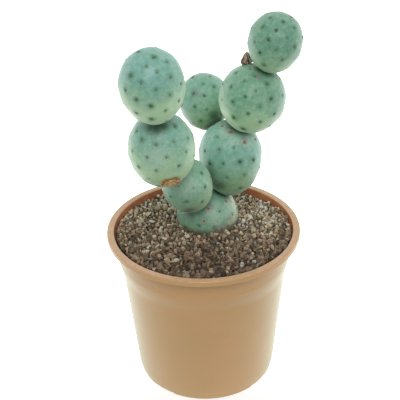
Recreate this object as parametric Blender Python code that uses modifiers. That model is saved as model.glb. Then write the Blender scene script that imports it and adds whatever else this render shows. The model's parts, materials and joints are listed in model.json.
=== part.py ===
"""Potted tephrocactus: a branching stem of eight round joints in a plastic pot of mineral grit.

Metres, +Z up. The origin is on the resting plane, under the middle of the pot, and the side that
is seen first faces -Y. The plant's joints stand on each other, so each one is cut to the seat that
the joint below gives it.
"""

import math
import random
from dataclasses import dataclass

import bmesh
import bpy
from mathutils import Matrix, Vector, noise

MM = 0.001
GAP = 0.3 * MM  # clearance between two pieces that touch
MERGE = 0.00001

# Pot, a pressed plastic shell
POT_HEIGHT = 90.2 * MM
RIM_RADIUS = 52.5 * MM
LIP_WIDTH = 3.9 * MM
LIP_DEPTH = 3.1 * MM
LIP_ROUND = 0.6 * MM
WALL = 1.1 * MM
COLLAR_TOP_RADIUS = 48.1 * MM
COLLAR_FOOT_RADIUS = 46.8 * MM
COLLAR_FOOT_HEIGHT = 71.0 * MM
COLLAR_EDGE = 0.4 * MM
SHOULDER_RADIUS = 45.0 * MM
SHOULDER_HEIGHT = 66.2 * MM
WALL_FOOT_RADIUS = 39.2 * MM
WALL_FOOT_HEIGHT = 7.5 * MM
FOOT_RADIUS = 37.7 * MM
FOOT_RING_WIDTH = 2.6 * MM
FOOT_BEND = 0.4 * MM  # how far each step of the foot's rounding goes in
FOOT_BEND_HEIGHTS = (4.0 * MM, 0.9 * MM)
FLOOR_UNDERSIDE = 2.2 * MM
FLOOR_THICKNESS = 1.4 * MM
FLOOR_ROUND = 2.4 * MM
ARC_POINTS = 4
POT_STEPS = 64

# Drain holes through the floor, and the arches that let water out under the foot ring
DRAIN_HOLES = 8
DRAIN_HOLE_RADIUS = 3.2 * MM
DRAIN_CIRCLE_RADIUS = 27.0 * MM
MIDDLE_DRAIN_RADIUS = 4.0 * MM
DRAIN_HOLE_STEPS = 20
FOOT_ARCHES = 4
FOOT_ARCH_WIDTH = 13.5 * MM
FOOT_ARCH_HEIGHT = 1.1 * MM
FOOT_ARCH_TURN = math.radians(-39.3)

# Grit bed: level at the wall, and the mound round the plant
BED_LEVEL = 86.4 * MM
MOUND_HEIGHT = 1.9 * MM
MOUND_REACH = 24.0 * MM
BED_ROUGHNESS = 0.45 * MM
BED_GRAIN = 3.2 * MM
BED_RINGS = 11
BED_STEPS = 48
SEED = 7

# Stem
JOINT_STEPS = 24
JOINT_POINTS = 13

# Root
TAPROOT_RADIUS = 6.5 * MM
TAPROOT_TIP_RADIUS = 1.1 * MM
TAPROOT_TOP = 77.0 * MM
TAPROOT_TIP = 30.0 * MM
TAPROOT_TAPER = 1.6
TAPROOT_ROWS = 7
TAPROOT_STEPS = 14
SIDE_ROOTS = 5
SIDE_ROOT_RADIUS = 1.3 * MM
SIDE_ROOT_THINNING = 0.55  # share of the radius that is lost by the end
SIDE_ROOT_START = 0.3 * MM
SIDE_ROOT_REACH = 25.0 * MM
SIDE_ROOT_TOP = 62.0 * MM
SIDE_ROOT_SPACING = 5.0 * MM
SIDE_ROOT_DROP = 20.0 * MM
SIDE_ROOT_TURN = 0.3
SIDE_ROOT_SWAY = 0.35
SIDE_ROOT_WAVES = 3.0
SIDE_ROOT_POINTS = 8


@dataclass(frozen=True)
class Joint:
    """One joint of the stem, in millimetres: an egg shape, its narrow end down."""

    place: str
    centre: tuple
    radius: float
    half_length: float
    taper: float
    tip: tuple
    stands_on: str | None

    @property
    def name(self):
        return f"{self.place}_joint"

    @property
    def seat_name(self):
        return f"{self.place}_joint_seat"


JOINTS = (
    Joint("base", (2.5, 12.9, 89.8), 17.1, 16.9, 0.0, (0.03, 0.02, 1.0), None),
    Joint("lower_left", (-7.7, -4.8, 118.3), 13.3, 18.8, 0.10, (-0.20, -0.54, 0.82), "base"),
    Joint("middle_left", (-19.6, -24.6, 150.3), 16.6, 21.6, 0.06, (-0.05, -0.37, 0.93), "lower_left"),
    Joint("upper_left", (-22.3, -35.3, 188.9), 15.5, 19.4, 0.06, (-0.08, -0.22, 0.97), "middle_left"),
    Joint("lower_right", (15.4, 15.6, 123.7), 17.1, 21.2, 0.09, (0.0, 0.15, 0.99), "base"),
    Joint("rear", (2.3, 37.2, 147.5), 14.0, 16.0, 0.07, (-0.13, 0.62, 0.77), "lower_right"),
    Joint("upper_right", (26.7, 12.2, 160.1), 17.4, 18.3, 0.03, (0.29, -0.10, 0.95), "lower_right"),
    Joint("top_right", (37.9, 9.9, 191.4), 14.0, 15.9, 0.05, (0.23, -0.05, 0.97), "upper_right"),
)


@dataclass(frozen=True)
class Stone:
    """One of the larger stones that lie half sunk in the grit, in millimetres."""

    name: str
    place: tuple
    size: tuple
    colour: str


STONES = (
    Stone("stone_white_by_stem", (-8.8, -5.6), (4.6, 3.4, 3.4), "stone_pale"),
    Stone("stone_white_front", (19.4, -33.0), (3.6, 3.2, 3.8), "stone_pale"),
    Stone("stone_white_right", (25.8, -30.4), (3.2, 2.8, 3.0), "stone_pale"),
    Stone("stone_grey_front", (22.6, -25.4), (3.4, 3.0, 2.8), "stone_grey"),
    Stone("stone_green_right", (29.9, -27.0), (4.0, 3.2, 3.0), "stone_grey"),
    Stone("stone_brown_right", (37.6, -22.4), (4.6, 3.6, 3.2), "stone_brown"),
    Stone("stone_yellow_front", (11.0, -39.6), (3.8, 3.0, 3.2), "stone_tan"),
    Stone("stone_dark_left", (-39.4, -21.0), (5.2, 3.2, 2.2), "stone_grey"),
    Stone("stone_grey_centre", (12.6, -26.4), (5.0, 4.2, 3.4), "stone_grey"),
    Stone("stone_tan_left", (-19.4, -26.8), (4.4, 4.0, 3.2), "stone_tan"),
    Stone("stone_pale_left", (-14.6, -27.4), (3.2, 3.6, 3.0), "stone_pale"),
    Stone("stone_pink_centre", (-2.6, -20.6), (5.2, 3.8, 3.0), "stone_brown"),
    Stone("stone_grey_left", (-30.2, -18.4), (4.4, 3.4, 2.8), "stone_pale"),
    Stone("stone_tan_front", (3.4, -39.0), (4.2, 3.4, 3.0), "stone_tan"),
    Stone("stone_brown_far_right", (35.4, -12.8), (5.2, 4.0, 3.0), "stone_brown"),
    Stone("stone_grey_front_left", (-9.4, -39.4), (4.0, 3.4, 3.0), "stone_grey"),
    Stone("stone_tan_rear_left", (-25.4, 24.6), (4.4, 3.8, 3.0), "stone_tan"),
    Stone("stone_grey_rear_right", (30.6, 23.4), (4.6, 4.0, 3.2), "stone_grey"),
)
STONE_SUNK = 0.42  # share of a stone's height that lies under the bed
STONE_FULLNESS = 0.90
STONE_WAVINESS = 0.22
STONE_GRAIN = 1.3

# Dried remains on the stem, in millimetres
CALLUS_CENTRE = (-15.6, -36.2, 139.0)
CALLUS_SIZE = (10.6, 8.4, 3.4)
CALLUS_OUTWARD = (0.22, -0.78, -0.58)
CALLUS_WAVINESS = 0.16
BUD_CENTRE = (24.2, 16.6, 180.6)
BUD_SIZE = (10.2, 5.6, 7.0)
BUD_TIP = (-0.03, 0.05, 1.0)
BUD_WAVINESS = 0.30
BUD_WIDTHS = (1.05, 0.30)  # how full it is at its foot and at its tip
LUMP_GRAIN = 5.0

COLOURS = {
    "pot_plastic": ((0.47, 0.27, 0.145), 0.42),
    "grit_bed": ((0.17, 0.125, 0.09), 0.95),
    "joint_skin": ((0.22, 0.44, 0.33), 0.5),
    "root_bark": ((0.24, 0.15, 0.08), 0.9),
    "cork": ((0.36, 0.24, 0.10), 0.85),
    "dry_bud": ((0.16, 0.11, 0.08), 0.9),
    "stone_pale": ((0.52, 0.50, 0.46), 0.9),
    "stone_grey": ((0.27, 0.26, 0.23), 0.9),
    "stone_brown": ((0.25, 0.15, 0.11), 0.9),
    "stone_tan": ((0.40, 0.30, 0.19), 0.9),
}


def clear_scene():
    """Removes every object that the file starts with."""
    for obj in list(bpy.data.objects):
        bpy.data.objects.remove(obj, do_unlink=True)


def new_collection(name):
    """A collection of that name in the scene."""
    collection = bpy.data.collections.new(name)
    bpy.context.scene.collection.children.link(collection)
    return collection


def material(name):
    """The sub-part's Principled material, made once for each name."""
    if name in bpy.data.materials:
        return bpy.data.materials[name]
    colour, roughness = COLOURS[name]
    made = bpy.data.materials.new(name)
    made.use_nodes = True
    shader = made.node_tree.nodes["Principled BSDF"]
    shader.inputs["Base Color"].default_value = (*colour, 1.0)
    shader.inputs["Roughness"].default_value = roughness
    shader.inputs["Metallic"].default_value = 0.0
    return made


def place_in(collection, obj, material_name):
    """Links a part to its collection and gives it a material of its own."""
    collection.objects.link(obj)
    obj.data.materials.append(material(material_name))
    return obj


def as_cutter(collection, obj):
    """Links a helper that shapes other parts and is never rendered."""
    collection.objects.link(obj)
    obj.hide_render = True
    obj.display_type = "WIRE"
    return obj


def boolean(obj, operation, other):
    """Cuts another object from this one, or joins it, as a live modifier."""
    modifier = obj.modifiers.new(f"{operation.lower()} {other.name}", "BOOLEAN")
    modifier.operation = operation
    modifier.solver = "EXACT"
    modifier.object = other


def turned(name, profile, steps):
    """A solid turned about Z from a profile that runs down its outer side."""
    mesh = bpy.data.meshes.new(name)
    edges = [(i, i + 1) for i in range(len(profile) - 1)]
    mesh.from_pydata([(radius, 0.0, height) for radius, height in profile], edges, [])
    obj = bpy.data.objects.new(name, mesh)
    screw = obj.modifiers.new("turn", "SCREW")
    screw.axis = "Z"
    screw.angle = math.tau
    screw.steps = steps
    screw.render_steps = steps
    screw.use_merge_vertices = True
    screw.merge_threshold = MERGE
    screw.use_smooth_shade = True
    return obj


def meshed(obj):
    """The object's evaluated shape as a plain mesh object in the same place."""
    bpy.context.scene.collection.objects.link(obj)
    bpy.context.view_layer.update()
    graph = bpy.context.evaluated_depsgraph_get()
    mesh = bpy.data.meshes.new_from_object(obj.evaluated_get(graph))
    shape = bmesh.new()
    shape.from_mesh(mesh)
    bmesh.ops.remove_doubles(shape, verts=shape.verts, dist=MERGE)
    bmesh.ops.recalc_face_normals(shape, faces=shape.faces)
    shape.to_mesh(mesh)
    shape.free()
    name, place = obj.name, obj.matrix_world.copy()
    bpy.data.objects.remove(obj, do_unlink=True)
    result = bpy.data.objects.new(name, mesh)
    result.matrix_world = place
    return result


def aim(obj, place, direction):
    """Puts the object at a place with its +Z along a direction."""
    turn = Vector(direction).normalized().to_track_quat("Z", "Y")
    obj.matrix_world = Matrix.Translation(place) @ turn.to_matrix().to_4x4()


def in_metres(values):
    """A vector in metres from three lengths in millimetres."""
    return Vector(values) * MM


def arc(centre, radius, start, end):
    """Points on an arc, its angles in degrees, counted from +X towards +Z."""
    step = (end - start) / (ARC_POINTS - 1)
    angles = [math.radians(start + step * i) for i in range(ARC_POINTS)]
    return [(centre[0] + radius * math.cos(a), centre[1] + radius * math.sin(a)) for a in angles]


def solid_from(name, shape):
    """A mesh object from a bmesh shape, which is freed."""
    mesh = bpy.data.meshes.new(name)
    shape.to_mesh(mesh)
    shape.free()
    return bpy.data.objects.new(name, mesh)


def cylinder(name, radius, depth):
    """An upright capped cylinder about the origin."""
    shape = bmesh.new()
    sizes = {"radius1": radius, "radius2": radius, "depth": depth}
    bmesh.ops.create_cone(shape, cap_ends=True, segments=DRAIN_HOLE_STEPS, **sizes)
    return solid_from(name, shape)


def box(name, size):
    """A box about the origin."""
    shape = bmesh.new()
    bmesh.ops.create_cube(shape, size=1.0, matrix=Matrix.Diagonal((*size, 1.0)))
    return solid_from(name, shape)


def lump(name, size, offset, waviness):
    """A crumpled closed lump of the given size, for the dried pieces."""
    shape = bmesh.new()
    bmesh.ops.create_icosphere(shape, subdivisions=3, radius=0.5)
    for vertex in shape.verts:
        rise = noise.noise(vertex.co * LUMP_GRAIN + Vector((offset, 0.0, 0.0)))
        swell = 1.0 + waviness * (rise - 0.35)
        vertex.co = Vector(vertex.co[i] * size[i] * swell for i in range(3))
    return solid_from(name, shape)


def pot_outside():
    """The pot's outer side, from the lip's outer edge down to the foot ring's inner edge."""
    lip_foot = POT_HEIGHT - LIP_DEPTH
    rim = RIM_RADIUS - LIP_ROUND
    ring_inner = FOOT_RADIUS - FOOT_RING_WIDTH
    return [
        *arc((rim, POT_HEIGHT - LIP_ROUND), LIP_ROUND, 90, 0),
        *arc((rim, lip_foot + LIP_ROUND), LIP_ROUND, 0, -90),
        (COLLAR_TOP_RADIUS + LIP_ROUND, lip_foot),
        (COLLAR_TOP_RADIUS, lip_foot - LIP_ROUND),
        (COLLAR_FOOT_RADIUS, COLLAR_FOOT_HEIGHT),
        (COLLAR_FOOT_RADIUS - COLLAR_EDGE, COLLAR_FOOT_HEIGHT - 2.0 * COLLAR_EDGE),
        (SHOULDER_RADIUS, SHOULDER_HEIGHT),
        (WALL_FOOT_RADIUS, WALL_FOOT_HEIGHT),
        (WALL_FOOT_RADIUS - FOOT_BEND, FOOT_BEND_HEIGHTS[0]),
        (FOOT_RADIUS + FOOT_BEND, FOOT_BEND_HEIGHTS[1]),
        (FOOT_RADIUS - FOOT_BEND, 0.0),
        (ring_inner, 0.0),
        (ring_inner - FOOT_BEND, FLOOR_UNDERSIDE),
        (0.0, FLOOR_UNDERSIDE),
    ]


def pot_inside(inset=0.0):
    """The pot's inner side as (radius, height), from the middle of the floor up to the collar's top."""
    floor = FLOOR_UNDERSIDE + FLOOR_THICKNESS + inset
    shift = WALL + inset
    corner = WALL_FOOT_RADIUS - shift - FLOOR_ROUND
    return [
        (0.0, floor),
        (corner * 0.5, floor),
        *arc((corner - LIP_ROUND, floor + FLOOR_ROUND), FLOOR_ROUND, -90, 0),
        (SHOULDER_RADIUS - shift, SHOULDER_HEIGHT - COLLAR_EDGE),
        (COLLAR_FOOT_RADIUS - shift, COLLAR_FOOT_HEIGHT - COLLAR_EDGE),
        (COLLAR_TOP_RADIUS - shift, POT_HEIGHT - LIP_DEPTH - 2.0 * COLLAR_EDGE),
    ]


def make_pot(parts, cutters):
    """The pot: one turned shell with a flat lip, a collar, a shoulder and a foot ring."""
    lip_inner = RIM_RADIUS - LIP_WIDTH
    lip_inside = arc((lip_inner + LIP_ROUND, POT_HEIGHT - LIP_ROUND), LIP_ROUND, 180, 90)
    profile = [*pot_inside(), *lip_inside, *pot_outside()]
    pot = place_in(parts, turned("pot", profile, POT_STEPS), "pot_plastic")
    for i in range(DRAIN_HOLES + 1):
        middle = i == DRAIN_HOLES
        radius = MIDDLE_DRAIN_RADIUS if middle else DRAIN_HOLE_RADIUS
        reach = 0.0 if middle else DRAIN_CIRCLE_RADIUS
        angle = math.tau * (i + 0.5) / DRAIN_HOLES
        hole = cylinder(f"drain_hole_cut_{i + 1}", radius, 4.0 * FLOOR_THICKNESS)
        hole.location = (reach * math.cos(angle), reach * math.sin(angle), FLOOR_UNDERSIDE)
        boolean(pot, "DIFFERENCE", as_cutter(cutters, hole))
    arch_size = (4.0 * FOOT_RING_WIDTH, FOOT_ARCH_WIDTH, 2.0 * FOOT_ARCH_HEIGHT)
    for i in range(FOOT_ARCHES):
        angle = FOOT_ARCH_TURN + math.tau * i / FOOT_ARCHES
        arch = box(f"foot_arch_cut_{i + 1}", arch_size)
        arch.location = (FOOT_RADIUS * math.cos(angle), FOOT_RADIUS * math.sin(angle), 0.0)
        arch.rotation_euler.z = angle
        boolean(pot, "DIFFERENCE", as_cutter(cutters, arch))


def bed_height(x, y):
    """How high the grit stands at a place: level at the wall, heaped round the stem, and rough."""
    stem = in_metres(JOINTS[0].centre)
    away = math.hypot(x - stem.x, y - stem.y) / MOUND_REACH
    rough = noise.noise(Vector((x, y, SEED * MM)) / BED_GRAIN)
    return BED_LEVEL + MOUND_HEIGHT * math.exp(-away * away) + BED_ROUGHNESS * rough


def bed_profile():
    """The bed's half outline: over the top, down beside the pot's wall, and back along its floor."""
    side = pot_inside(inset=GAP)
    wall_top = side[-1]
    wall_foot = side[-2]
    share = (BED_LEVEL - wall_foot[1]) / (wall_top[1] - wall_foot[1])
    edge = wall_foot[0] + share * (wall_top[0] - wall_foot[0])
    top = [(edge * i / BED_RINGS, BED_LEVEL) for i in range(BED_RINGS + 1)]
    return [*top, *reversed(side[:-1])]


def make_bed(parts, cutters):
    """The grit bed, with pockets for the buried joint, the root and the larger stones."""
    bed = meshed(turned("grit_bed", bed_profile(), BED_STEPS))
    for vertex in bed.data.vertices:
        if vertex.co.z > BED_LEVEL - MERGE:
            vertex.co.z = bed_height(vertex.co.x, vertex.co.y)
    place_in(parts, bed, "grit_bed")
    boolean(bed, "DIFFERENCE", seat(cutters, "base"))
    root_cut = as_cutter(cutters, make_root("root_cut", cutters, GAP))
    boolean(bed, "DIFFERENCE", root_cut)
    for number, stone in enumerate(STONES):
        pocket = make_stone(f"{stone.name}_pocket", stone, number, GAP)
        boolean(bed, "DIFFERENCE", as_cutter(cutters, pocket))


def egg_profile(joint, grow):
    """A joint's outline from its top to its foot, wider above its middle than below."""
    radius = joint.radius * MM + grow
    half_length = joint.half_length * MM + grow
    points = []
    for i in range(JOINT_POINTS):
        angle = math.pi * i / (JOINT_POINTS - 1)
        width = radius * math.sin(angle) * (1.0 + joint.taper * math.cos(angle))
        points.append((max(width, 0.0), half_length * math.cos(angle)))
    points[0] = (0.0, half_length)
    points[-1] = (0.0, -half_length)
    return points


def seat(cutters, place):
    """The cutter that shapes a seat against the joint at this place on the stem."""
    return cutters.objects[f"{place}_joint_seat"]


def make_joint_shape(name, joint, grow=0.0):
    """A whole joint, or with grow the cutter that leaves a gap round it."""
    obj = turned(name, egg_profile(joint, grow), JOINT_STEPS)
    aim(obj, in_metres(joint.centre), joint.tip)
    return obj


def make_joints(parts, cutters):
    """The eight joints, each cut to the seat that the one below gives it."""
    for joint in JOINTS:
        as_cutter(cutters, make_joint_shape(joint.seat_name, joint, GAP))
    for joint in JOINTS:
        solid = place_in(parts, make_joint_shape(joint.name, joint), "joint_skin")
        if joint.stands_on:
            boolean(solid, "DIFFERENCE", seat(cutters, joint.stands_on))


def root_profile(grow):
    """The taproot's outline, from inside the buried joint down to a blunt tip."""
    points = [(0.0, TAPROOT_TOP)]
    for i in range(TAPROOT_ROWS):
        share = i / (TAPROOT_ROWS - 1)
        thinned = (TAPROOT_RADIUS - TAPROOT_TIP_RADIUS) * (1.0 - share) ** TAPROOT_TAPER
        height = TAPROOT_TOP + (TAPROOT_TIP - TAPROOT_TOP) * share
        points.append((TAPROOT_TIP_RADIUS + thinned + grow, height))
    points.append((0.0, TAPROOT_TIP - TAPROOT_TIP_RADIUS - grow))
    return points


def side_root_path(number, grow):
    """The points that a side root runs through, its end carried on by grow."""
    stem = in_metres(JOINTS[0].centre)
    path = []
    for i in range(SIDE_ROOT_POINTS):
        share = i / (SIDE_ROOT_POINTS - 1)
        reach = SIDE_ROOT_START + SIDE_ROOT_REACH * share
        angle = math.tau * (number + SIDE_ROOT_TURN) / SIDE_ROOTS
        angle += SIDE_ROOT_SWAY * math.sin(SIDE_ROOT_WAVES * share + number)
        height = SIDE_ROOT_TOP - number * SIDE_ROOT_SPACING - SIDE_ROOT_DROP * share * share
        across = Vector((math.cos(angle), math.sin(angle))) * reach
        path.append(Vector((stem.x + across.x, stem.y + across.y, height)))
    path[-1] = path[-1] + (path[-1] - path[-2]).normalized() * grow
    return path


def make_side_root(name, number, grow):
    """One root that leaves the taproot sideways and bends down, thinner as it goes."""
    curve = bpy.data.curves.new(name, "CURVE")
    curve.dimensions = "3D"
    curve.bevel_depth = SIDE_ROOT_RADIUS
    curve.bevel_resolution = 1
    curve.use_fill_caps = True
    path = side_root_path(number, grow)
    spline = curve.splines.new("POLY")
    spline.points.add(len(path) - 1)
    for i, place in enumerate(path):
        spline.points[i].co = (*place, 1.0)
        thinned = 1.0 - SIDE_ROOT_THINNING * i / (len(path) - 1)
        spline.points[i].radius = thinned + grow / SIDE_ROOT_RADIUS
    return meshed(bpy.data.objects.new(name, curve))


def make_root(name, cutters, grow=0.0):
    """The taproot with its side roots joined to it in one solid."""
    root = turned(name, root_profile(grow), TAPROOT_STEPS)
    stem = in_metres(JOINTS[0].centre)
    root.location = (stem.x, stem.y, 0.0)
    for number in range(SIDE_ROOTS):
        side = as_cutter(cutters, make_side_root(f"{name}_side_{number + 1}", number, grow))
        boolean(root, "UNION", side)
    return root


def make_stone(name, stone, number, grow=0.0):
    """A stone: a rounded lump with a few flats, half sunk in the bed."""
    rng = random.Random(SEED + number)
    shape = bmesh.new()
    bmesh.ops.create_icosphere(shape, subdivisions=2, radius=1.0)
    half = [0.5 * side * MM + grow for side in stone.size]
    offset = Vector(rng.uniform(0.0, 9.0) for _ in range(3))
    for vertex in shape.verts:
        rise = noise.noise(vertex.co * STONE_GRAIN + offset)
        swell = STONE_FULLNESS + STONE_WAVINESS * rise
        vertex.co = Vector(vertex.co[i] * half[i] * swell for i in range(3))
    obj = solid_from(name, shape)
    x, y = (value * MM for value in stone.place)
    height = stone.size[2] * MM
    obj.location = (x, y, bed_height(x, y) + height * (0.5 - STONE_SUNK))
    obj.rotation_euler.z = rng.uniform(0.0, math.tau)
    return obj


def make_stones(parts):
    """The larger stones, each in its pocket."""
    for number, stone in enumerate(STONES):
        place_in(parts, make_stone(stone.name, stone, number), stone.colour)


def make_callus(parts, cutters):
    """The corky patch low on the middle left joint, shaped to the two joints it lies against."""
    callus = lump("corky_callus", in_metres(CALLUS_SIZE), 2.0, CALLUS_WAVINESS)
    aim(callus, in_metres(CALLUS_CENTRE), CALLUS_OUTWARD)
    place_in(parts, callus, "cork")
    boolean(callus, "DIFFERENCE", seat(cutters, "middle_left"))
    boolean(callus, "DIFFERENCE", seat(cutters, "lower_left"))


def make_bud(parts, cutters):
    """The dried bud in the fork between the two upper right joints."""
    bud = lump("dried_bud", in_metres(BUD_SIZE), 5.0, BUD_WAVINESS)
    foot_width, tip_width = BUD_WIDTHS
    for vertex in bud.data.vertices:
        share = vertex.co.z / (BUD_SIZE[2] * MM) + 0.5
        pinch = foot_width + (tip_width - foot_width) * share
        vertex.co.x *= pinch
        vertex.co.y *= pinch
    aim(bud, in_metres(BUD_CENTRE), BUD_TIP)
    place_in(parts, bud, "dry_bud")
    boolean(bud, "DIFFERENCE", seat(cutters, "upper_right"))
    boolean(bud, "DIFFERENCE", seat(cutters, "top_right"))


def make_taproot(parts, cutters):
    """The root, its top shaped to the underside of the buried joint."""
    root = place_in(parts, make_root("taproot", cutters), "root_bark")
    boolean(root, "DIFFERENCE", seat(cutters, "base"))


def main():
    """Builds the pot, the stem, the root, the grit and what lies on them."""
    clear_scene()
    parts = new_collection("potted_tephrocactus")
    cutters = new_collection("cutters")
    make_pot(parts, cutters)
    make_joints(parts, cutters)
    make_taproot(parts, cutters)
    make_bed(parts, cutters)
    make_stones(parts)
    make_callus(parts, cutters)
    make_bud(parts, cutters)


main()
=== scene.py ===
"""Looks of the potted tephrocactus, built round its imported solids.

Metres, +Z up, in the frame of the solids: the origin is under the middle of the pot, and the side
that is seen first faces -Y. The pot, the stem, the grit and what lies on them each have a class that
holds its sizes and builds its meshes. Sizes given in millimetres are named so or lie in a dataclass
that says so. Grains of noise and depths of relief in the finishes are in millimetres too.
"""

import json
import logging
import math
import random
from dataclasses import dataclass, field, replace
from enum import Enum

import bmesh
import bpy
import numpy as np
from mathutils import Matrix, Vector, noise
from mathutils.bvhtree import BVHTree

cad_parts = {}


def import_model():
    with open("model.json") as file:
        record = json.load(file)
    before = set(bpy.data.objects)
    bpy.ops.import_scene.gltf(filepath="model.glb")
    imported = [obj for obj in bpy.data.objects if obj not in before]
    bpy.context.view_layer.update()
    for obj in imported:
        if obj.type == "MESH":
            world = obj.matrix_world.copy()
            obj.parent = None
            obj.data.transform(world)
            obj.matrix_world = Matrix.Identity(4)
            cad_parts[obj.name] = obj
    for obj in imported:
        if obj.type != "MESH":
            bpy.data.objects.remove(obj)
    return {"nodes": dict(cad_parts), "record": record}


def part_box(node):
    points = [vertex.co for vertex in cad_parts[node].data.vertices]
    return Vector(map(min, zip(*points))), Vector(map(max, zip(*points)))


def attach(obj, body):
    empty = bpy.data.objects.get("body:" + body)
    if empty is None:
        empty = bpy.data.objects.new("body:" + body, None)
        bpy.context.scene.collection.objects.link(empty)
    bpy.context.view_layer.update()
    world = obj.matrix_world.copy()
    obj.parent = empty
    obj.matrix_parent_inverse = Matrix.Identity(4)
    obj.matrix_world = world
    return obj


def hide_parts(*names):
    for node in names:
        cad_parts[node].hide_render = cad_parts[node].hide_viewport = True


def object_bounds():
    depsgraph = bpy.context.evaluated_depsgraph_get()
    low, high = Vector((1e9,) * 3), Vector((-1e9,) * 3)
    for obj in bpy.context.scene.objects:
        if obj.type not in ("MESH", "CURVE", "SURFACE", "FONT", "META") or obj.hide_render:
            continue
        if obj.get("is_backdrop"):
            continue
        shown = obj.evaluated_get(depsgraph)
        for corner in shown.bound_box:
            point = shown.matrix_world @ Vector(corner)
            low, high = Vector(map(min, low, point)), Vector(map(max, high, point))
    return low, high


LOG = logging.getLogger("potted_tephrocactus")
MM = 0.001
BODY = "root"
SEED = 7
WELD = 0.01 * MM
TINY = 1e-6
GOLDEN_ANGLE = math.pi * (3.0 - math.sqrt(5.0))
WHITE = (1.0, 1.0, 1.0)
# the dark green of the painted shade, also the colour of the skin's dark specks
SHADE = (0.034, 0.078, 0.038)

Colour = tuple[float, float, float]
Stops = tuple[tuple[float, Colour], ...]
Place = tuple[float, float, float]
Span = tuple[float, float]
Pixel = tuple[float, float]
Spot = tuple[float, float, float]
Material = bpy.types.Material
Object = bpy.types.Object
Socket = bpy.types.NodeSocket


class Slot(Enum):
    """The record's material slots that the pieces take their finish from."""

    POT = "pot_plastic"
    GRIT = "grit_bed"
    SKIN = "joint_skin"
    CORK = "cork"
    BUD = "dry_bud"
    PALE = "stone_pale"
    GREY = "stone_grey"
    BROWN = "stone_brown"
    TAN = "stone_tan"


def keep(piece: Object, slot: Slot, *nodes: str) -> None:
    """Rides a finished piece on the body, and hides the solids that it stands for.

    Args:
        piece: The finished mesh object, at the origin.
        slot: The material slot that it takes its finish from. Not used.
        nodes: The solids that it replaces.
    """
    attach(piece, BODY)
    if nodes:
        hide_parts(*nodes)
    LOG.info("%s: %d faces", piece.name, len(piece.data.polygons))


def linked(name: str, data: bpy.types.ID) -> Object:
    """Makes an object of a mesh, a camera or a light, and links it to the scene.

    Args:
        name: The object's name.
        data: What it shows.

    Returns:
        The new object, at the origin.
    """
    made = bpy.data.objects.new(name, data)
    bpy.context.scene.collection.objects.link(made)
    return made


def mesh_object(name: str, points: np.ndarray, faces: list) -> Object:
    """Makes a smooth mesh object.

    Args:
        name: The object's name.
        points: Its points in metres.
        faces: Its faces as lists of point numbers.

    Returns:
        The new object, at the origin.
    """
    mesh = bpy.data.meshes.new(name)
    mesh.from_pydata([tuple(point) for point in points], [], faces)
    mesh.validate()
    mesh.shade_smooth()
    return linked(name, mesh)


def drawn_object(name: str, shape: bmesh.types.BMesh) -> Object:
    """Makes a mesh object of a shape that was drawn with bmesh, and frees the shape.

    Args:
        name: The object's name.
        shape: The shape, in metres.

    Returns:
        The new object, at the origin.
    """
    mesh = bpy.data.meshes.new(name)
    shape.to_mesh(mesh)
    shape.free()
    return linked(name, mesh)


def store(piece: Object, **amounts: object) -> None:
    """Stores numbers or vectors for a mesh's points, as named attributes.

    Args:
        piece: The mesh object.
        amounts: By name, one number for every point, or a number or a vector for each.
    """
    for name, values in amounts.items():
        flat = np.asarray(values, np.float32)
        if flat.ndim == 0:
            flat = np.full(len(piece.data.vertices), flat)
        kind, key = ("FLOAT", "value") if flat.ndim == 1 else ("FLOAT_VECTOR", "vector")
        piece.data.attributes.new(name, kind, "POINT").data.foreach_set(key, flat.ravel())


def ball(subdivisions: int) -> tuple[np.ndarray, list]:
    """An even ball of radius 1.

    Args:
        subdivisions: How often its twenty sides are split.

    Returns:
        Its points, which are also its directions, and its faces.
    """
    shape = bmesh.new()
    bmesh.ops.create_icosphere(shape, subdivisions=subdivisions, radius=1.0)
    points = np.array([vertex.co for vertex in shape.verts])
    faces = [[vertex.index for vertex in face.verts] for face in shape.faces]
    shape.free()
    return points / np.linalg.norm(points, axis=1)[:, None], faces


def lumps(directions: np.ndarray, scale: float, shift: float = 0.0) -> np.ndarray:
    """Smooth noise from -1 to 1 for each direction, finer the larger the scale."""
    return np.array([noise.noise(Vector(d) * scale + Vector((shift, 0.0, 0.0))) for d in directions])


def weighed(weights: Place, first: np.ndarray, second: np.ndarray) -> np.ndarray:
    """A steady amount and two that vary, the last two each times its weight."""
    return weights[0] + weights[1] * first + weights[2] * second


def own_axes(direction: Place) -> np.ndarray:
    """The axes of a shape whose length lies along a direction, as the columns of a matrix."""
    return np.array(Vector(direction).normalized().to_track_quat("Z", "Y").to_matrix())


def turned(name: str, profile_mm: list[Span], steps: int) -> Object:
    """A closed shape turned about Z.

    Args:
        name: The object's name.
        profile_mm: Its outline as (radius, height), from axis to axis, its first point on top of a
            solid or on the floor inside a shell.
        steps: How many steps a turn has.

    Returns:
        The mesh object.
    """
    shape = bmesh.new()
    rows = [shape.verts.new((radius * MM, 0.0, height * MM)) for radius, height in profile_mm]
    edges = [shape.edges.new(pair) for pair in zip(rows, rows[1:])]
    around = {"cent": (0, 0, 0), "axis": (0, 0, 1), "angle": math.tau, "steps": steps}
    bmesh.ops.spin(shape, geom=[*rows, *edges], **around)
    bmesh.ops.remove_doubles(shape, verts=shape.verts, dist=WELD)
    bmesh.ops.recalc_face_normals(shape, faces=shape.faces)
    return drawn_object(name, shape)


def evaluated(source: Object, name: str) -> Object:
    """Turns an object with live modifiers into a plain mesh object, and removes it.

    Args:
        source: The object to evaluate.
        name: The plain object's name.

    Returns:
        The plain mesh object, in the scene.
    """
    bpy.context.view_layer.update()
    graph = bpy.context.evaluated_depsgraph_get()
    mesh = bpy.data.meshes.new_from_object(source.evaluated_get(graph), depsgraph=graph)
    bpy.data.objects.remove(source, do_unlink=True)
    mesh.name = name
    return linked(name, mesh)


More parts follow.
